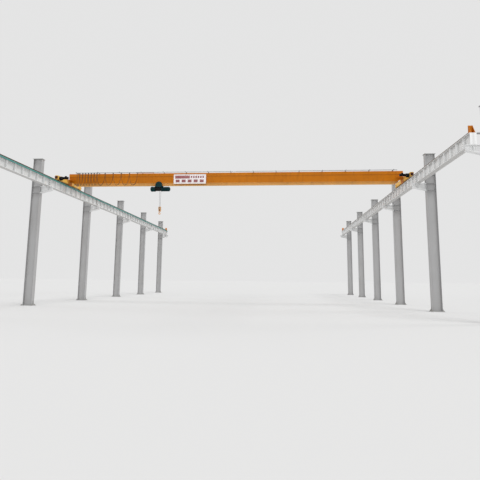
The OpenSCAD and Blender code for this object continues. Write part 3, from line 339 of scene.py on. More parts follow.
TEAL = finish_material(
    "hoist_teal_enamel", (0.001, 0.034, 0.039), (0.010, 0.020, 0.020), (0.12, 0.13, 0.13), roughness=0.36,
    specular=0.08, blotch=4.0, dirt_amount=0.30, chips=0.15, chip_scale=60.0, grain=90.0, wave=14.0,
    wave_height=0.9, bump=0.18)
GREEN = finish_material(
    "trolley_dark_green_paint", (0.002, 0.017, 0.016), (0.014, 0.016, 0.014), (0.14, 0.14, 0.13),
    specular=0.08, blotch=5.0, dirt_amount=0.45, chips=0.25, chip_scale=60.0, bump=0.15)
RUBBER = finish_material(
    "buffer_rubber", (0.070, 0.014, 0.008), (0.11, 0.070, 0.045), (0.05, 0.03, 0.02), roughness=0.72,
    specular=0.3, blotch=9.0, dirt_amount=0.45, chips=0.2, grain=400.0, bump=0.3)
SHEATH = finish_material(
    "flat_cable_sheath", (0.030, 0.022, 0.017), (0.12, 0.10, 0.08), (0.06, 0.05, 0.04), roughness=0.62,
    specular=0.35, blotch=7.0, chips=0.1, grain=500.0, bump=0.15)
MOULDED = finish_material(
    "moulded_black_plastic", (0.022, 0.021, 0.021), (0.11, 0.10, 0.08), (0.07, 0.07, 0.07), roughness=0.5,
    blotch=20.0, dirt_amount=0.35, chips=0.15, grain=600.0, bump=0.12, tint=0.12)
CONDUCTOR = finish_material(
    "conductor_teal_plastic", (0.050, 0.32, 0.29), (0.20, 0.22, 0.20), (0.08, 0.24, 0.22), blotch=2.5,
    run=1.4, chips=0.15, bump=0.08, tint=0.12)
BOARD = finish_material(
    "sign_white_enamel", (0.80, 0.745, 0.75), (0.46, 0.41, 0.36), (0.35, 0.3, 0.28), roughness=0.30,
    coat=0.3, blotch=1.8, dirt_amount=0.30, chips=0.15, bump=0.05, tint=0.03)
RED = finish_material(
    "sign_red_enamel", (0.24, 0.008, 0.013), (0.12, 0.03, 0.025), (0.42, 0.34, 0.32), roughness=0.34,
    coat=0.3, blotch=3.0, dirt_amount=0.35, chips=0.25, bump=0.05, tint=0.10)
HOOK_PAINT = finish_material(
    "hook_orange_paint", (0.72, 0.31, 0.030), (0.16, 0.10, 0.05), (0.33, 0.31, 0.30), roughness=0.4,
    coat=0.2, blotch=9.0, dirt_amount=0.45, chips=0.6, chip_scale=40.0, bump=0.2, tint=0.10)
SCREW = finish_material(
    "plated_fasteners", (0.42, 0.40, 0.36), (0.16, 0.10, 0.07), (0.55, 0.54, 0.52), metal=0.85,
    blotch=25.0, dirt_amount=0.55)
DARK_SCREW = finish_material(
    "blackened_fasteners", (0.060, 0.060, 0.058), (0.030, 0.022, 0.016), (0.20, 0.19, 0.18),
    roughness=0.45, metal=0.5, blotch=25.0)
ARM_STEEL = finish_material(
    "weathered_arm_steel", (0.12, 0.115, 0.11), (0.070, 0.055, 0.042), (0.28, 0.27, 0.26), roughness=0.55,
    metal=0.3, blotch=6.0, dirt_amount=0.5, chip_scale=50.0, bump=0.12, tint=0.12)


def make_rope_material():
    """Laid wire rope: slanting strands from a wave that climbs along the rope, under grease."""
    material, tree, shader = new_material("greased_wire_rope")
    vector = add(tree, "ShaderNodeTexCoord").outputs["Object"]
    strands = add(tree, "ShaderNodeTexWave", wave_type="BANDS", bands_direction="DIAGONAL")
    lay = fed(tree, strands, Vector=vector, Scale=55.0, Distortion=0.6).outputs["Fac"]
    grease = placed(tree, DIRT, vector, Blotch_Scale=12.0, Run_Scale=2.0, Amount=0.6)["Mask"]
    base = mix_colour(tree, lay, (0.008, 0.007, 0.006), (0.040, 0.036, 0.033))
    base = mix_colour(tree, grease, base, (0.016, 0.012, 0.010))
    gloss = math_node(tree, "MULTIPLY_ADD", grease, 0.3, 0.42)
    fed(tree, shader, Base_Color=base, Roughness=gloss, Specular_IOR_Level=0.15)
    add_relief(tree, shader, lay, 0.5, 0.002)
    return material


ROPE = make_rope_material()

FINISH_OF_SLOT = {
    "white_steel": WHITE, "grey_steel": GREY, "rail_steel": RAIL, "yellow_paint": YELLOW,
    "black_paint": BLACK, "green_paint": TEAL, "buffer_rubber": RUBBER, "galvanised": ZINC,
    "conductor_housing": CONDUCTOR, "cable_black": SHEATH, "sign_white": BOARD, "hook_steel": HOOK_PAINT,
    "rope_steel": ROPE, "trolley_black": MOULDED,
}
# Nodes whose finish differs from their slot's
FINISH_OF_NODE = {
    "columns": SHADED_COLUMN_WHITE, "left_runway_beams": SHADED_BEAM_WHITE, "right_runway_beams": SHADED_BEAM_WHITE,
    "girder_side_plates": LIP_SHADED_WALL_YELLOW, "girder_track_beam": FLOOR_LIT_FLANGE_YELLOW, "festoon_arms": ARM_STEEL,
    "left_end_carriage": LIT_CARRIAGE_YELLOW, "right_end_carriage": LIT_CARRIAGE_YELLOW,
    "trolley_frame": GREEN, "travel_motor": GREEN, "hoist_housing": BLACK, "hook_block": HOOK_PAINT,
    "trolley_wheels": BRIGHT, "hook_sheave": BRIGHT, "left_front_wheel": BRIGHT,
    "left_rear_wheel": BRIGHT, "right_front_wheel": BRIGHT, "right_rear_wheel": BRIGHT,
}
slot_of = {row["node"]: row["material_slot"] for row in frame["record"]["subparts"]}
for label, node in frame["nodes"].items():
    node.data.materials.clear()
    node.data.materials.append(FINISH_OF_NODE.get(label, FINISH_OF_SLOT[slot_of[label]]))

SLOT_OF_FINISH = {finish.name: slot for slot, finish in FINISH_OF_SLOT.items()}
SLOT_OF_FINISH.update({
    BRIGHT.name: "rail_steel", GREEN.name: "green_paint", SHADED_BEAM_WHITE.name: "white_steel",
    LIT_CARRIAGE_YELLOW.name: "yellow_paint", SCREW.name: "galvanised", DARK_SCREW.name: "galvanised",
    RED.name: "sign_white",
})


# Modelling helpers


def mesh_of(bm, name):
    """The mesh that a bmesh holds."""
    mesh = bpy.data.meshes.new(name)
    bm.to_mesh(mesh)
    bm.free()
    return mesh


def in_scene(name, data):
    """An object in the scene for a mesh, lamp or camera."""
    made = bpy.data.objects.new(name, data)
    bpy.context.scene.collection.objects.link(made)
    return made


def piece(name, bm, finish, body=None, smooth=False):
    """Turns a bmesh into a named piece of one finish that rides on a body."""
    bmesh.ops.recalc_face_normals(bm, faces=bm.faces)
    mesh = mesh_of(bm, name)
    if smooth:
        mesh.shade_smooth()
    mesh.materials.append(finish)
    made = in_scene(name, mesh)
    if body:
        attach(made, body)
    return made


def block(bm, centre, size, bevel=0.0):
    """A box, with its edges bevelled where a width is given."""
    made = bmesh.ops.create_cube(bm, size=1.0)["verts"]
    bmesh.ops.transform(bm, matrix=Matrix.LocRotScale(Vector(centre), None, Vector(size)), verts=made)
    if bevel:
        edges = list({e for v in made for e in v.link_edges})
        bmesh.ops.bevel(bm, geom=edges, offset=bevel, offset_type="OFFSET", segments=2, profile=0.5,
                        affect="EDGES", material=-1)
    return made


def rod(bm, start, end, radius, segments=12):
    """A round bar between two points."""
    start, end = Vector(start), Vector(end)
    span = end - start
    turn = span.to_track_quat("Z", "Y").to_matrix().to_4x4()
    bmesh.ops.create_cone(bm, cap_ends=True, segments=segments, radius1=radius, radius2=radius,
                          depth=span.length, matrix=Matrix.Translation((start + end) / 2) @ turn)


def stud(bm, radius, height, foot, segments, tip=None, x=0.0):
    """An upright stud or hexagon that stands on a foot height, and may taper to a tip."""
    bmesh.ops.create_cone(bm, cap_ends=True, segments=segments, radius1=radius, radius2=tip or radius,
                          depth=height, matrix=Matrix.Translation((x, 0, foot + height / 2)))


def turned(bm, profile, place, steps=32):
    """Spins a profile of (radius, height) points about Z and puts it in place."""
    verts = [bm.verts.new((radius, 0.0, height)) for radius, height in profile]
    edges = [bm.edges.new(pair) for pair in zip(verts, verts[1:])]
    bmesh.ops.spin(bm, geom=verts + edges, cent=(0, 0, 0), axis=(0, 0, 1), dvec=(0, 0, 0),
                   angle=math.tau, steps=steps, use_merge=True, use_duplicate=False)
    made, before = set(verts), 0
    while len(made) > before:
        before = len(made)
        made |= {e.other_vert(v) for v in made for e in v.link_edges}
    bmesh.ops.remove_doubles(bm, verts=list(made), dist=1e-5)
    bmesh.ops.transform(bm, matrix=place, verts=[v for v in made if v.is_valid])


def cap(bm, place, radius, height, rim, drop, sunk, steps=32):
    """A shallow round cap with a chamfer, rim wide and drop deep, whose foot is sunk in what carries it."""
    edge = [(radius - rim, height), (radius, height - drop), (radius, -sunk)]
    turned(bm, [(0.0, height), *edge, (0.0, -sunk)], place, steps)


def grille(bm, place, radii, width, foot, steps=32):
    """Raised rings of a fan grille."""
    crest = 0.006
    for radius in radii:
        turned(bm, [(radius, foot), (radius + width / 2, crest), (radius + width, foot), (radius, foot)],
               place, steps)


def swept(bm, section, places):
    """Extrudes a closed section from place to place, with both ends closed."""
    front = [bm.faces.new([bm.verts.new(places[0] @ Vector(point)) for point in section])]
    for before, after in zip(places, places[1:]):
        grown = bmesh.ops.extrude_face_region(bm, geom=front)["geom"]
        verts = [part for part in grown if isinstance(part, bmesh.types.BMVert)]
        bmesh.ops.transform(bm, matrix=after @ before.inverted(), verts=verts)
        front = [part for part in grown if isinstance(part, bmesh.types.BMFace)]


def spun_rope(bm, ring_place, centre, turns, steps, pitch_step=0.0, segments=10):
    """Spins the rope's round section about an axle along X, with a step along it where it is wound."""
    ring = bmesh.ops.create_circle(bm, cap_ends=True, segments=segments, radius=ROPE_RADIUS,
                                   matrix=ring_place)["verts"]
    bmesh.ops.spin(bm, geom=list({f for v in ring for f in v.link_faces}), cent=centre, axis=(1, 0, 0),
                   dvec=(pitch_step, 0, 0), angle=math.tau * turns, steps=steps, use_merge=False,
                   use_duplicate=False)


def stamp(bm, pattern, places):
    """Copies a small pattern mesh to many places."""
    for place in places:
        copy = pattern.copy()
        copy.transform(place)
        bm.from_mesh(copy)
        bpy.data.meshes.remove(copy)


def stamped(name, pattern, places, finish, body):
    """A piece that is one small pattern at many places."""
    bm = bmesh.new()
    stamp(bm, pattern, places)
    piece(name, bm, finish, body)


def facing(axis, side):
    """The name of an axis, or of its reverse on the lower side."""
    return axis if side > 0 else "-" + axis


DIRECTIONS = {
    "X": (1, 0, 0), "Y": (0, 1, 0), "Z": (0, 0, 1), "-X": (-1, 0, 0), "-Y": (0, -1, 0), "-Z": (0, 0, -1),
}


def at(x, y, z, axis="Z"):
    """A place whose local Z points along the given axis."""
    look = Vector(DIRECTIONS[axis]).to_track_quat("Z", "Y").to_matrix().to_4x4()
    return Matrix.Translation((x, y, z)) @ look


def corners(first, second):
    """The four corners of a rectangle from its two half lengths."""
    return [(a * first, b * second) for a in SIDES for b in SIDES]


def bolt_circle(centre, radius, count, phase=0.0):
    """Places on a bolt circle round a place."""
    angles = [phase + k * math.tau / count for k in range(count)]
    return [centre @ Matrix.Translation((radius * math.cos(a), radius * math.sin(a), 0)) for a in angles]


def bolt_pattern(size, grip=0.0):
    """Hexagon head on a washer; with a grip, a stud end stands through a nut."""
    washer, head = size * 0.18, size * 0.75
    bm = bmesh.new()
    stud(bm, size * 1.1, washer, 0.0, 12)
    stud(bm, size * 0.92, head, washer, 6)
    if grip:
        stud(bm, size * 0.5, grip, washer + head, 8, tip=size * 0.42)
    return mesh_of(bm, "pattern")


BOLT_30 = bolt_pattern(0.030, grip=0.040)
BOLT_20 = bolt_pattern(0.020, grip=0.012)
BOLT_16 = bolt_pattern(0.016, grip=0.010)
BOLT_10 = bolt_pattern(0.010)


# Runway dressing


def make_rail_clips():
    """Forged clips in pairs along both rails, each under one bolt."""
    foot_half, gap, pitch, end_room = 0.057, 0.006, 0.75, 0.3
    thick, nut, bolt_x = 0.022, 0.014, 0.026
    bm = bmesh.new()
    verts = block(bm, (0.022, 0, thick / 2), (0.056, 0.070, thick))
    bmesh.ops.translate(bm, verts=[v for v in verts if v.co.x < 0], vec=(-0.012, 0, 0.004))
    stud(bm, 0.017, nut, thick, 6, x=bolt_x)
    stud(bm, 0.010, 0.012, thick + nut, 8, tip=0.009, x=bolt_x)
    clip = mesh_of(bm, "pattern")
    count = int((2 * RAIL_END - end_room) / pitch) + 1
    places = []
    for side in SIDES:
        for flank in SIDES:
            x = side * RAIL_X + flank * (foot_half + gap)
            turn = Matrix.Rotation(0.0 if flank > 0 else math.pi, 4, "Z")
            places += [Matrix.Translation((x, (k - (count - 1) / 2) * pitch, BEAM_TOP)) @ turn
                       for k in range(count)]
    stamped("rail_clips", clip, places, SCREW, "runway")


def make_rail_heads():
    """The bright running band that the wheels polish on each rail."""
    wide, thick, end_room = 0.046, 0.0004, 0.1
    bm = bmesh.new()
    for side in SIDES:
        block(bm, (side * RAIL_X, 0, RAIL_TOP + thick / 2), (wide, 2 * (RAIL_END - end_room), thick))
    piece("polished_rail_bands", bm, BRIGHT, "runway")


def make_structure_bolts():
    """Anchor nuts, and the bolts of the tie plates and beam seats."""
    base_plate, tie_plate, seat_plate = 0.030, 0.012, 0.018
    tie_reach, tie_rise, tie_half = 0.128, 0.095, 0.070
    anchors = [at(side * COLUMN_X + dx, y + dy, base_plate)
               for side in SIDES for y in COLUMN_ROWS for dx, dy in corners(0.320, 0.170)]
    stamped("anchor_nuts", BOLT_30, anchors, SCREW, "runway")
    places = []
    for side in SIDES:
        column_face = side * (COLUMN_X - COLUMN_DEPTH / 2 - tie_plate)
        for row in COLUMN_ROWS:
            for y in (row - tie_half, row + tie_half):
                places.append(at(side * (RAIL_X + tie_reach), y, BEAM_TOP + tie_plate))
                places.append(at(column_face, y, BEAM_TOP + tie_rise, facing("X", -side)))
            for dx, dy in corners(0.105, 0.075):
                x, y = side * RAIL_X + dx, row + dy
                if abs(y) < COLUMN_ROWS[-1]:
                    places += [at(x, y, BEAM_LOW + BEAM_FLANGE), at(x, y, BEAM_LOW - seat_plate, "-Z")]
    stamped("seat_and_tie_bolts", BOLT_20, places, SCREW, "runway")


def make_beam_seams():
    """Fillet welds along the webs of the runway beams, and the bolts that join the beams' ends."""
    half_gap, overrun, inset, bead = 0.010, 0.150, 0.020, 0.002
    starts = [COLUMN_ROWS[0] - overrun] + [row + half_gap for row in COLUMN_ROWS[1:-1]]
    stops = [row - half_gap for row in COLUMN_ROWS[1:-1]] + [COLUMN_ROWS[-1] + overrun]
    bm = bmesh.new()
    for side in SIDES:
        for start, stop in zip(starts, stops):
            for flank in SIDES:
                x = side * RAIL_X + flank * (BEAM_WEB_HALF + bead)
                for z in (BEAM_LOW + BEAM_FLANGE + bead, BEAM_TOP - BEAM_FLANGE - bead):
                    rod(bm, (x, start + inset, z), (x, stop - inset, z), 0.006, 6)
    piece("beam_web_welds", bm, SHADED_BEAM_WHITE, "runway", smooth=True)
    bolt_x, plate_face, pitch = 0.075, 0.0225, 0.13
    columns = [side * RAIL_X + sx * bolt_x for side in SIDES for sx in SIDES]
    places = [at(x, row + sy * plate_face, BEAM_LOW + level * pitch, facing("Y", sy))
              for x in columns for row in COLUMN_ROWS[1:-1] for sy in SIDES for level in (1, 2, 3)]
    stamped("beam_end_bolts", BOLT_20, places, SCREW, "runway")


def make_conductor_fittings():
    """Hangers at the brackets, joint covers and end caps of the enclosed conductor line."""
    low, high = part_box("conductor_rail")
    x, top = (low.x + high.x) / 2, high.z
    hangers, first_hanger, joints, joint_pitch = 5, 0.25, 6, 6.0
    jaw, cover, end_cap = (0.003, 0.030, 0.040), (0.060, 0.180, 0.052), (0.058, 0.060, 0.060)
    bm = bmesh.new()
    for k in range(BAYS * hangers):
        y = COLUMN_ROWS[0] + (k + first_hanger) * BAY / hangers
        for flank in SIDES:
            block(bm, (x + flank * 0.0275, y, top - 0.022), jaw)
        rod(bm, (x, y, top), (x, y, top + 0.018), 0.006, 8)
    piece("conductor_hangers", bm, ZINC, "runway")
    bm = bmesh.new()
    for k in range(joints):
        block(bm, (x, (k - (joints - 1) / 2) * joint_pitch, top - cover[2] / 2), cover, 0.006)
    for end in SIDES:
        block(bm, (x, end * (high.y - 0.010), top - end_cap[2] / 2), end_cap, 0.008)
    piece("conductor_joint_covers", bm, CONDUCTOR, "runway")


# Bridge dressing


def wall_half(z):
    """Half width of the girder between its sloping side plates at a height."""
    share = (z - WALL_LOW) / (LIP_LOW - WALL_LOW)
    return WALL_LOW_HALF + share * (GIRDER_HALF - LIP_PLATE - WALL_LOW_HALF)


def make_girder_seams():
    """Long welds under the folded lips, at the foot and the sloping ends, and upright splice welds."""
    foot_end = GIRDER_END - (HAUNCH_HEAD - WALL_LOW) / (HAUNCH_HEAD - TRACK_LOW) * (GIRDER_END - HAUNCH_START)
    lip = GIRDER_HALF - LIP_PLATE
    wide, narrow = 0.006, 0.005
    under_lip, at_foot = (lip + 0.002, LIP_LOW - 0.001), (WALL_LOW_HALF + 0.001, WALL_LOW + 0.002)
    splice_foot, lip_bend = WALL_LOW + 0.004, GIRDER_TOP - 0.032
    # Each seam has two ends, as a place along the girder with a half width and a height, and a radius
    seams = [(-GIRDER_END, under_lip, GIRDER_END, under_lip, wide),
             (-foot_end, at_foot, foot_end, at_foot, narrow)]
    for side in SIDES:
        seams.append((side * foot_end, (WALL_LOW_HALF, WALL_LOW),
                      side * GIRDER_END, (wall_half(HAUNCH_HEAD), HAUNCH_HEAD), narrow))
    for x in (-7.4, -1.2, 4.8, 9.0):
        seams.append((x, (wall_half(splice_foot), splice_foot), x, (lip, LIP_LOW), narrow))
        seams.append((x, (GIRDER_HALF, LIP_LOW), x, (GIRDER_HALF, lip_bend), narrow))
    bm = bmesh.new()
    for flank in SIDES:
        for x0, (half0, z0), x1, (half1, z1), radius in seams:
            rod(bm, (x0, BRIDGE_Y + flank * half0, z0), (x1, BRIDGE_Y + flank * half1, z1), radius, 8)
    piece("girder_weld_seams", bm, YELLOW, "bridge", smooth=True)


def make_track_stops():
    """Stops bolted to the ends of the hoist's running flange."""
    flange, end_room, off_web = 0.016, 0.080, 0.055
    stop, foot = (0.012, 0.060, 0.080), (0.050, 0.060, 0.012)
    floor = TRACK_LOW + flange
    bm = bmesh.new()
    for side in SIDES:
        x = side * (HAUNCH_START - end_room)
        for flank in SIDES:
            y = BRIDGE_Y + flank * off_web
            block(bm, (x, y, floor + stop[2] / 2), stop, 0.003)
            block(bm, (x + side * foot[0] / 2, y, floor + foot[2] / 2), foot, 0.002)
    piece("hoist_track_stops", bm, ZINC, "bridge")


def make_sign_face():
    """Rows of plain red blocks on the bare white board, and its screws."""
    low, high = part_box("sign_board")
    wide, tall = high.x - low.x, high.z - low.z
    thick, edge = 0.0016, 0.014
    # Left, right, foot and head of each block, as shares of the board
    patches = [(0.045, 0.500, 0.550, 0.860)]
    patches += [(0.530 + k * 0.072, 0.575 + k * 0.072, 0.600, 0.820) for k in range(6)]
    patches += [(0.065 + k * 0.186, 0.185 + k * 0.186, 0.150, 0.440) for k in range(5)]
    bm = bmesh.new()
    for left, right, foot, head in patches:
        centre = (low.x + (left + right) / 2 * wide, low.y - thick / 2, low.z + (foot + head) / 2 * tall)
        block(bm, centre, ((right - left) * wide, thick, (head - foot) * tall))
    piece("sign_red_blocks", bm, RED, "bridge")
    screws = [at(x, low.y, z, "-Y") for x in (low.x + edge, (low.x + high.x) / 2, high.x - edge)
              for z in (low.z + edge, high.z - edge)]
    stamped("sign_screws", BOLT_10, screws, SCREW, "bridge")


def make_carriage_details():
    """Bolts, bearing caps, hand-hole covers, lifting lugs and rail sweeps of both end carriages."""
    low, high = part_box("right_end_carriage")
    nose, under, top = (high.y - low.y) / 2, low.z, high.z
    centre_z = (under + top) / 2
    half_width, bearing_face, bearing_ring = 0.100, 0.125, 0.046
    joint_y, knee_bolts, cover_y, lug_y = 0.212, (0.300, 0.430), 0.85, 1.15
    cover, lug = (0.004, 0.300, 0.120), (0.014, 0.110, 0.080)
    sweep_arm, sweep_toe = (0.150, 0.008, 0.018), (0.026, 0.008, 0.050)
    bolts, covers = bmesh.new(), bmesh.new()
    for side in SIDES:
        x = side * RAIL_X
        out, inward = facing("X", side), facing("X", -side)
        for sy in SIDES:
            stamp(bolts, BOLT_20, [at(side * GIRDER_END, BRIDGE_Y + sy * joint_y, z, inward)
                                   for z in (under + 0.045, centre_z, top - 0.045)])
            stamp(bolts, BOLT_20, [at(x + dx, BRIDGE_Y + sy * dy, top + 0.012)
                                   for dx in (-0.060, 0.060) for dy in knee_bolts])
            axle_y = BRIDGE_Y + sy * WHEEL_BASE / 2
            outer = at(x + side * bearing_face, axle_y, AXLE_Z, out)
            stamp(bolts, BOLT_10, bolt_circle(outer, bearing_ring, 6))
            cap(covers, outer, 0.032, 0.010, rim=0.006, drop=0.006, sunk=0.002, steps=24)
            # On the inner side the front bearings carry the drives instead
            if sy > 0:
                inner = at(x - side * bearing_face, axle_y, AXLE_Z, inward)
                stamp(bolts, BOLT_10, bolt_circle(inner, bearing_ring, 6))
            stamp(bolts, BOLT_10, [at(x + dx, BRIDGE_Y + sy * (nose + 0.010), centre_z + dz, facing("Y", sy))
                                   for dx, dz in corners(0.078, 0.078)])
            y = BRIDGE_Y + sy * cover_y
            block(covers, (x + side * (half_width + cover[0] / 2), y, centre_z), cover, 0.0015)
            stamp(bolts, BOLT_10, [at(x + side * (half_width + cover[0]), y + dy, centre_z + dz, out)
                                   for dy, dz in corners(0.130, 0.044)])
            block(covers, (x, BRIDGE_Y + sy * lug_y, top + lug[2] / 2), lug, 0.004)
            front = BRIDGE_Y + sy * (nose - 0.012)
            block(covers, (x, front, under - sweep_arm[2] / 2), sweep_arm, 0.002)
            for flank in SIDES:
                block(covers, (x + flank * 0.062, front, under - 0.035), sweep_toe, 0.002)
    piece("carriage_bolts", bolts, LIT_CARRIAGE_YELLOW, "bridge")
    piece("carriage_covers_and_lugs", covers, LIT_CARRIAGE_YELLOW, "bridge")


def make_drive_details():
    """Flanges, fan cowls and terminal covers of the two travel drives."""
    box_length, motor_length, rise = 0.165, 0.400, 0.025
    flange = [(0.0, -0.010), (0.088, -0.010), (0.091, -0.004), (0.091, 0.012), (0.080, 0.016), (0.0, 0.016)]
    cowl = [(0.0, -0.100), (0.080, -0.100), (0.082, -0.096), (0.082, -0.020), (0.077, -0.004),
            (0.066, 0.002), (0.0, 0.002)]
    axis_z = AXLE_Z + rise
    lid, gland = (0.108, 0.098, 0.010), 0.011
    dark, bright = bmesh.new(), bmesh.new()
    for side, label in zip(SIDES, ("left_drive", "right_drive")):
        low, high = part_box(label)
        y, lid_z, gland_z = (low.y + high.y) / 2, high.z, high.z - 0.024
        inner, root = (high.x, low.x) if side < 0 else (low.x, high.x)
        toward = facing("X", -side)
        joint_x = root - side * box_length
        turned(dark, flange, at(joint_x, y, axis_z, toward))
        stamp(bright, BOLT_10, bolt_circle(at(joint_x - side * 0.014, y, axis_z, toward), 0.084, 6, 0.3))
        turned(dark, cowl, at(inner, y, axis_z, toward))
        grille(bright, at(inner, y, axis_z, toward), (0.016, 0.028, 0.040), 0.006, 0.001, 24)
        stamp(bright, BOLT_10, bolt_circle(at(joint_x, y, AXLE_Z, toward), 0.113, 8))
        box_x = root - side * (box_length + motor_length * 0.55)
        block(dark, (box_x, y, lid_z + 0.004), lid, 0.003)
        stamp(bright, BOLT_10, [at(box_x + dx, y + dy, lid_z + 0.006) for dx, dy in corners(0.044, 0.040)])
        rod(bright, (box_x - side * 0.048, y, gland_z), (box_x - side * 0.072, y, gland_z), gland, 10)
    piece("drive_flanges_and_cowls", dark, BLACK, "bridge")
    piece("drive_bolts", bright, SCREW, "bridge")


def make_festoon_fittings():
    """Clasps of the cable track under each arm, arm bolts, joint sleeves and the track's end stop."""
    low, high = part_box("festoon_track")
    arm_pitch, arm_reach, joints = 1.5, 7, (-6.75, -0.75, 5.25)
    arms = [k * arm_pitch for k in range(-arm_reach, arm_reach + 1) if low.x < k * arm_pitch < high.x]
    bolt_rows = ((FESTOON_Y, high.z), (BRIDGE_Y - 0.125, GIRDER_TOP), (BRIDGE_Y - 0.165, GIRDER_TOP))
    clasp, sleeve, end_stop = (0.060, 0.006, 0.044), (0.160, 0.005, 0.037), (0.030, 0.046, 0.046)
    sleeve_z = high.z - 0.018
    bm, bolts = bmesh.new(), bmesh.new()
    for x in arms:
        for flank in SIDES:
            block(bm, (x, FESTOON_Y + flank * 0.0240, sleeve_z), clasp, 0.0015)
        stamp(bolts, BOLT_10, [at(x + 0.006, y, z + 0.005) for y, z in bolt_rows])
    for x in joints:
        for flank in SIDES:
            block(bm, (x, FESTOON_Y + flank * 0.0230, sleeve_z), sleeve, 0.001)
    block(bm, (high.x - end_stop[0] / 2, FESTOON_Y, high.z - 0.020), end_stop, 0.004)
    piece("festoon_track_clasps", bm, ZINC, "bridge")
    piece("festoon_bolts", bolts, SCREW, "bridge")


# Festoon cable


def loop_path(x0, x1, depth, top):
    """Middle line of one hanging loop between two saddles."""
    a, b = x0 + SADDLE_HALF, x1 - SADDLE_HALF
    steps, fullness, lead = 34, 0.86, SADDLE_HALF * 0.6
    points = [(x0, top), (x0 + lead, top)]
    for k in range(steps + 1):
        angle = math.pi * k / steps
        x = (a + b) / 2 - (b - a) / 2 * math.cos(angle)
        points.append((x, top - depth * math.sin(angle) ** fullness))
    return points + [(x1 - lead, top), (x1, top)]


def sweep_band(bm, points, y, wide, thick):
    """Sweeps a flat cable's rounded section along a path that stays in one upright plane."""
    edge = thick * 0.32
    half, low = wide / 2, thick / 2
    section = [(-half, edge - low, 0), (edge - half, -low, 0), (half - edge, -low, 0), (half, edge - low, 0),
               (half, low - edge, 0), (half - edge, low, 0), (edge - half, low, 0), (-half, low - edge, 0)]
    places = []
    for k, (x, z) in enumerate(points):
        before, after = points[max(k - 1, 0)], points[min(k + 1, len(points) - 1)]
        along = Vector((after[0] - before[0], 0.0, after[1] - before[1])).normalized()
        turn = Matrix(((0, 1, 0), (-along.z, 0, along.x), along)).transposed().to_4x4()
        places.append(Matrix.Translation((x, y, z)) @ turn)
    swept(bm, section, places)


def make_festoon_cables():
    """Two flat cables a loop, from trolley to trolley, that open and close as the trolleys run."""
    cable_low, cable_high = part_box("festoon_cable")
    top = cable_high.z + 0.0050
    depth = top - cable_low.z - 0.020
    thick, upper_wide, lower_wide = 0.010, 0.034, 0.030
    clamp_bar, bumper, bolt_out = (0.050, 0.046, 0.006), (0.010, 0.020, 0.014), 0.0195
    stations = [cable_low.x + SADDLE_HALF]
    stations += [middle(f"cable_trolley_{k}").x for k in range(1, CABLE_TROLLEYS + 1)]
    for k in range(1, CABLE_TROLLEYS + 1):
        x0, x1 = stations[k - 1:k + 1]
        # Each loop hangs and sways a little differently
        sway = 0.002 * math.sin(k * 2.3)
        upper = loop_path(x0, x1, depth * (0.985 + 0.015 * math.sin(k * 1.7)), top - 0.0055)
        lower = loop_path(x0, x1, depth * (0.955 + 0.015 * math.cos(k * 1.3)), top - 0.0165)
        bm = bmesh.new()
        sweep_band(bm, upper, FESTOON_Y + sway, upper_wide, thick)
        sweep_band(bm, lower, FESTOON_Y - sway, lower_wide, thick)
        made = piece(f"festoon_loop_{k}", bm, SHEATH, smooth=True)
        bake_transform(made)
        if k == 1:
            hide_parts("festoon_cable")
        bm = bmesh.new()
        block(bm, (x1, FESTOON_Y, top - 0.0250), clamp_bar, 0.002)
        for flank in SIDES:
            y = FESTOON_Y + flank * bolt_out
            rod(bm, (x1, y, top - 0.032), (x1, y, top + 0.004), 0.0022, 6)
        for end in SIDES:
            block(bm, (x1 + end * 0.039, FESTOON_Y, top + 0.018), bumper, 0.003)
        piece(f"cable_clamp_{k}", bm, ZINC, f"cable_trolley_{k}")
    x, z = stations[-1], top + 0.0185
    bm = bmesh.new()
    block(bm, (x, FESTOON_Y, z), (0.200, 0.044, 0.014), 0.003)
    for dx, flank in corners(0.078, 1):
        rod(bm, (x + dx, FESTOON_Y + flank * 0.022, z), (x + dx, FESTOON_Y + flank * 0.030, z), 0.012, 16)
    piece("tow_trolley_frame", bm, MOULDED, f"cable_trolley_{CABLE_TROLLEYS}")


# Hoist dressing


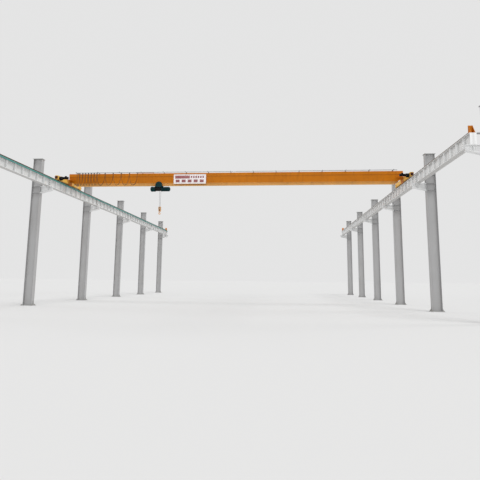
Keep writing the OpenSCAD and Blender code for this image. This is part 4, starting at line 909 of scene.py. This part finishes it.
def make_hoist_details():
    """Bolts, covers, cowls and terminal boxes of the hoist and its trolley."""
    motor_low, motor_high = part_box("hoist_motor")
    gear_low, gear_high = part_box("hoist_gearbox")
    case_low, case_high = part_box("travel_gearbox")
    travel_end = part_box("travel_motor")[1].y
    travel_x, travel_z = middle("travel_motor").x, middle("travel_motor").z
    far_face = 2 * BRIDGE_Y - case_high.y
    dark, teal, bolts = bmesh.new(), bmesh.new(), bmesh.new()

    # Trolley
    stamp(bolts, BOLT_20, [at(travel_x + sx * 0.090, far_face, TRACK_LOW - 0.020, "Y") for sx in SIDES])
    axle_z = middle("trolley_wheels").z
    stamp(bolts, BOLT_16, [at(travel_x + sx * 0.150, far_face, axle_z, "Y") for sx in SIDES])
    case_face = at(travel_x, case_low.y, travel_z, "-Y")
    cap(teal, case_face, 0.052, 0.010, rim=0.006, drop=0.005, sunk=0.004)
    stamp(bolts, BOLT_10, bolt_circle(case_face, 0.036, 4, 0.785))
    rim_radius = (case_high.x - case_low.x) / 2 - 0.022
    rim = bolt_circle(at(travel_x, case_low.y + 0.0120, travel_z, "-Y"), rim_radius, 16, 0.1)
    stamp(bolts, BOLT_10, [place for place in rim if place.translation.z > case_low.z + 0.030])
    stamp(bolts, BOLT_10, [at(travel_x + k * 0.060, case_low.y + 0.002, case_low.z + 0.018, "-Y")
                           for k in range(-2, 3)])
    cowl = [(0.0, -0.060), (0.078, -0.060), (0.082, -0.056), (0.082, -0.010), (0.070, 0.0), (0.020, 0.003),
            (0.0, 0.003)]
    turned(dark, cowl, at(travel_x, travel_end, travel_z, "Y"))
    block(dark, (travel_x, travel_end - 0.120, travel_z + 0.088), (0.080, 0.090, 0.046), 0.006)

    # Hoist motor and gearbox
    motor_flange = at(motor_low.x + 0.024, BRIDGE_Y, HOIST_Z, "X")
    gear_step = at(gear_high.x - 0.155, BRIDGE_Y, HOIST_Z, "-X")
    gear_face = at(gear_low.x, BRIDGE_Y, HOIST_Z, "-X")
    stamp(bolts, BOLT_10, bolt_circle(motor_flange, 0.1515, 12, 0.31))
    stamp(bolts, BOLT_10, bolt_circle(gear_step, 0.157, 6, math.pi / 6))
    stamp(bolts, BOLT_10, bolt_circle(gear_face, 0.078, 6))
    cap(teal, gear_face, 0.054, 0.006, rim=0.006, drop=0.004, sunk=0.004)
    grille(dark, at(motor_high.x, BRIDGE_Y, HOIST_Z, "X"), (0.020, 0.036, 0.052, 0.068), 0.008, 0.0005)
    motor_length, box_half = 0.460, 0.065
    box_x, lid_y = motor_low.x + 0.30 * motor_length + box_half, motor_high.y + 0.003
    gland_y, gland_z = motor_high.y - 0.020, HOIST_Z - 0.056
    block(teal, (box_x, lid_y, HOIST_Z), (0.138, 0.008, 0.128), 0.003)
    stamp(bolts, BOLT_10, [at(box_x + dx, lid_y + 0.003, HOIST_Z + dz, "Y")
                           for dx, dz in corners(0.058, 0.053)])
    rod(dark, (box_x, gland_y, gland_z), (box_x, gland_y, gland_z - 0.028), 0.013, 12)
    piece("hoist_cowls_and_boxes", dark, BLACK, "hoist")
    piece("hoist_covers", teal, TEAL, "hoist")
    piece("hoist_bolts", bolts, DARK_SCREW, "hoist")


def make_wound_rope():
    """The turns of rope laid on the drum, that end where the near fall leaves it."""
    pitch, turns, per_turn = 0.017, 16.75, 28
    start = (HOIST_X - FLEET - pitch * turns, BRIDGE_Y, HOIST_Z - ROPE_REACH)
    place = Matrix.Translation(start) @ Matrix.Rotation(math.pi / 2, 4, "X")
    bm = bmesh.new()
    spun_rope(bm, place, (HOIST_X, BRIDGE_Y, HOIST_Z), turns, round(turns * per_turn), pitch / per_turn, 8)
    piece("rope_on_drum", bm, ROPE, "drum", smooth=True)


def make_rope_falls():
    """Both rope falls from the drum to the sheave, and the half turn under the sheave."""
    sides, rings = 10, 24
    angles = [math.tau * k / sides for k in range(sides)]
    section = [(ROPE_RADIUS * math.cos(a), ROPE_RADIUS * math.sin(a), 0) for a in angles]
    for flank, label, lead in ((-1, "near", FLEET), (1, "far", 0.0)):
        y = BRIDGE_Y + flank * ROPE_REACH
        head, foot = Vector((HOIST_X - lead, y, HOIST_Z)), Vector((HOIST_X, y, SHEAVE_Z))
        bm = bmesh.new()
        swept(bm, section, [Matrix.Translation(head.lerp(foot, k / rings)) for k in range(rings + 1)])
        made = piece(f"rope_fall_{label}", bm, ROPE, smooth=True)
        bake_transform(made)
        if flank < 0:
            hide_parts("hoist_ropes")
    bm = bmesh.new()
    place = Matrix.Translation((HOIST_X, BRIDGE_Y + ROPE_REACH, SHEAVE_Z))
    spun_rope(bm, place, (HOIST_X, BRIDGE_Y, SHEAVE_Z), -0.5, rings)
    piece("rope_under_sheave", bm, ROPE, "hook_block", smooth=True)


def make_hook_details():
    """Side bolts and pin caps of the hook block, and the hook's safety latch."""
    low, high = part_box("hook_block")
    bolts = bmesh.new()
    for side in SIDES:
        x, axis = HOIST_X + side * (high.x - low.x) / 2, facing("X", side)
        stamp(bolts, BOLT_16, [at(x, BRIDGE_Y + a * 0.085, SHEAVE_Z + b, axis)
                               for a in SIDES for b in (0.070, -0.075)])
        cap(bolts, at(x, BRIDGE_Y, SHEAVE_Z, axis), 0.030, 0.012, rim=0.004, drop=0.003, sunk=0.0, steps=24)
    piece("hook_block_bolts", bolts, SCREW, "hook_block")
    eye_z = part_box("hook")[0].z + 0.082
    pivot = Vector((HOIST_X + 0.019, BRIDGE_Y, eye_z + 0.050))
    tip = Vector((HOIST_X + 0.045, BRIDGE_Y, eye_z + 0.0262))
    pin = Vector((0, 0.020, 0))
    bm = bmesh.new()
    for flank in SIDES:
        block(bm, pivot + Vector((-0.004, flank * 0.0165, 0.0)), (0.020, 0.003, 0.022), 0.001)
    rod(bm, pivot - pin, pivot + pin, 0.003, 10)
    span = tip - pivot
    tongue = block(bm, (0, 0, 0), (0.003, 0.022, span.length))
    place = Matrix.Translation((pivot + tip) / 2) @ Matrix.Rotation(math.atan2(span.x, span.z), 4, "Y")
    bmesh.ops.transform(bm, matrix=place, verts=tongue)
    piece("hook_latch", bm, ZINC, "hook")


# The scene


def make_stage():
    """A wide pale floor just below the base plates."""
    bm = bmesh.new()
    bmesh.ops.create_grid(bm, x_segments=1, y_segments=1, size=1500.0)
    floor = in_scene("floor", mesh_of(bm, "floor"))
    floor.location = (0, 0, -0.001)
    material, tree, shader = new_material("pale_floor")
    fed(tree, shader, Base_Color=(0.70, 0.70, 0.698, 1.0), Roughness=1.0, Specular_IOR_Level=0.0)
    floor.data.materials.append(material)


def make_light():
    """A pale world, a little brighter where it is seen or mirrored, and four soft suns."""
    light_level, seen_extra = 0.60, 0.18
    world = bpy.data.worlds.new("studio")
    bpy.context.scene.world = world
    world.use_nodes = True
    tree = world.node_tree
    ray = add(tree, "ShaderNodeLightPath").outputs
    seen = math_node(tree, "MAXIMUM", ray["Is Camera Ray"], ray["Is Glossy Ray"])
    seen = math_node(tree, "MAXIMUM", seen, ray["Is Transmission Ray"])
    strength = math_node(tree, "MULTIPLY_ADD", seen, seen_extra, light_level)
    fed(tree, tree.nodes["Background"], Color=(1.0, 1.0, 1.0, 1.0), Strength=strength)
    for label, heading, power, angle in (
        ("from_above", (-0.25, 0.35, -0.90), 1.10, 0.45),
        ("from_left", (0.80, -0.28, -0.45), 0.50, 0.35),
        ("from_right", (-0.80, -0.22, -0.45), 0.80, 0.35),
        ("from_front", (0.10, 0.98, -0.12), 0.65, 0.50),
    ):
        lamp = bpy.data.lights.new(label, "SUN")
        lamp.energy, lamp.angle = power, angle
        in_scene(label, lamp).rotation_euler = Vector(heading).to_track_quat("-Z", "Y").to_euler()


def make_camera():
    """The photograph's view: low near the floor, turned a little left and up along the runway."""
    frame_px, focal_px, shift_px = 480, 446.4, -24
    eye = Vector((3.06, BRIDGE_Y - 29.06, 1.626))
    yaw, pitch, roll = math.radians(4.81), math.radians(8.22), math.radians(0.58)
    forward = Vector((-math.sin(yaw) * math.cos(pitch), math.cos(yaw) * math.cos(pitch), math.sin(pitch)))
    right = Vector((math.cos(yaw), math.sin(yaw), 0.0))
    up = right.cross(forward)
    right, up = right * math.cos(roll) + up * math.sin(roll), up * math.cos(roll) - right * math.sin(roll)
    data = bpy.data.cameras.new("camera")
    data.sensor_width = 36.0
    data.lens = focal_px / frame_px * data.sensor_width
    data.shift_y = shift_px / frame_px
    data.clip_end = 4000.0
    camera = in_scene("camera", data)
    camera.matrix_world = Matrix.Translation(eye) @ Matrix((right, up, -forward)).transposed().to_4x4()
    bpy.context.scene.camera = camera


make_camera()
make_stage()
make_light()
make_rail_clips()
make_rail_heads()
make_structure_bolts()
make_beam_seams()
make_conductor_fittings()
make_girder_seams()
make_track_stops()
make_sign_face()
make_carriage_details()
make_drive_details()
make_festoon_fittings()
make_festoon_cables()
make_hoist_details()
make_wound_rope()
make_rope_falls()
make_hook_details()

bpy.context.scene.view_settings.view_transform = "Standard"
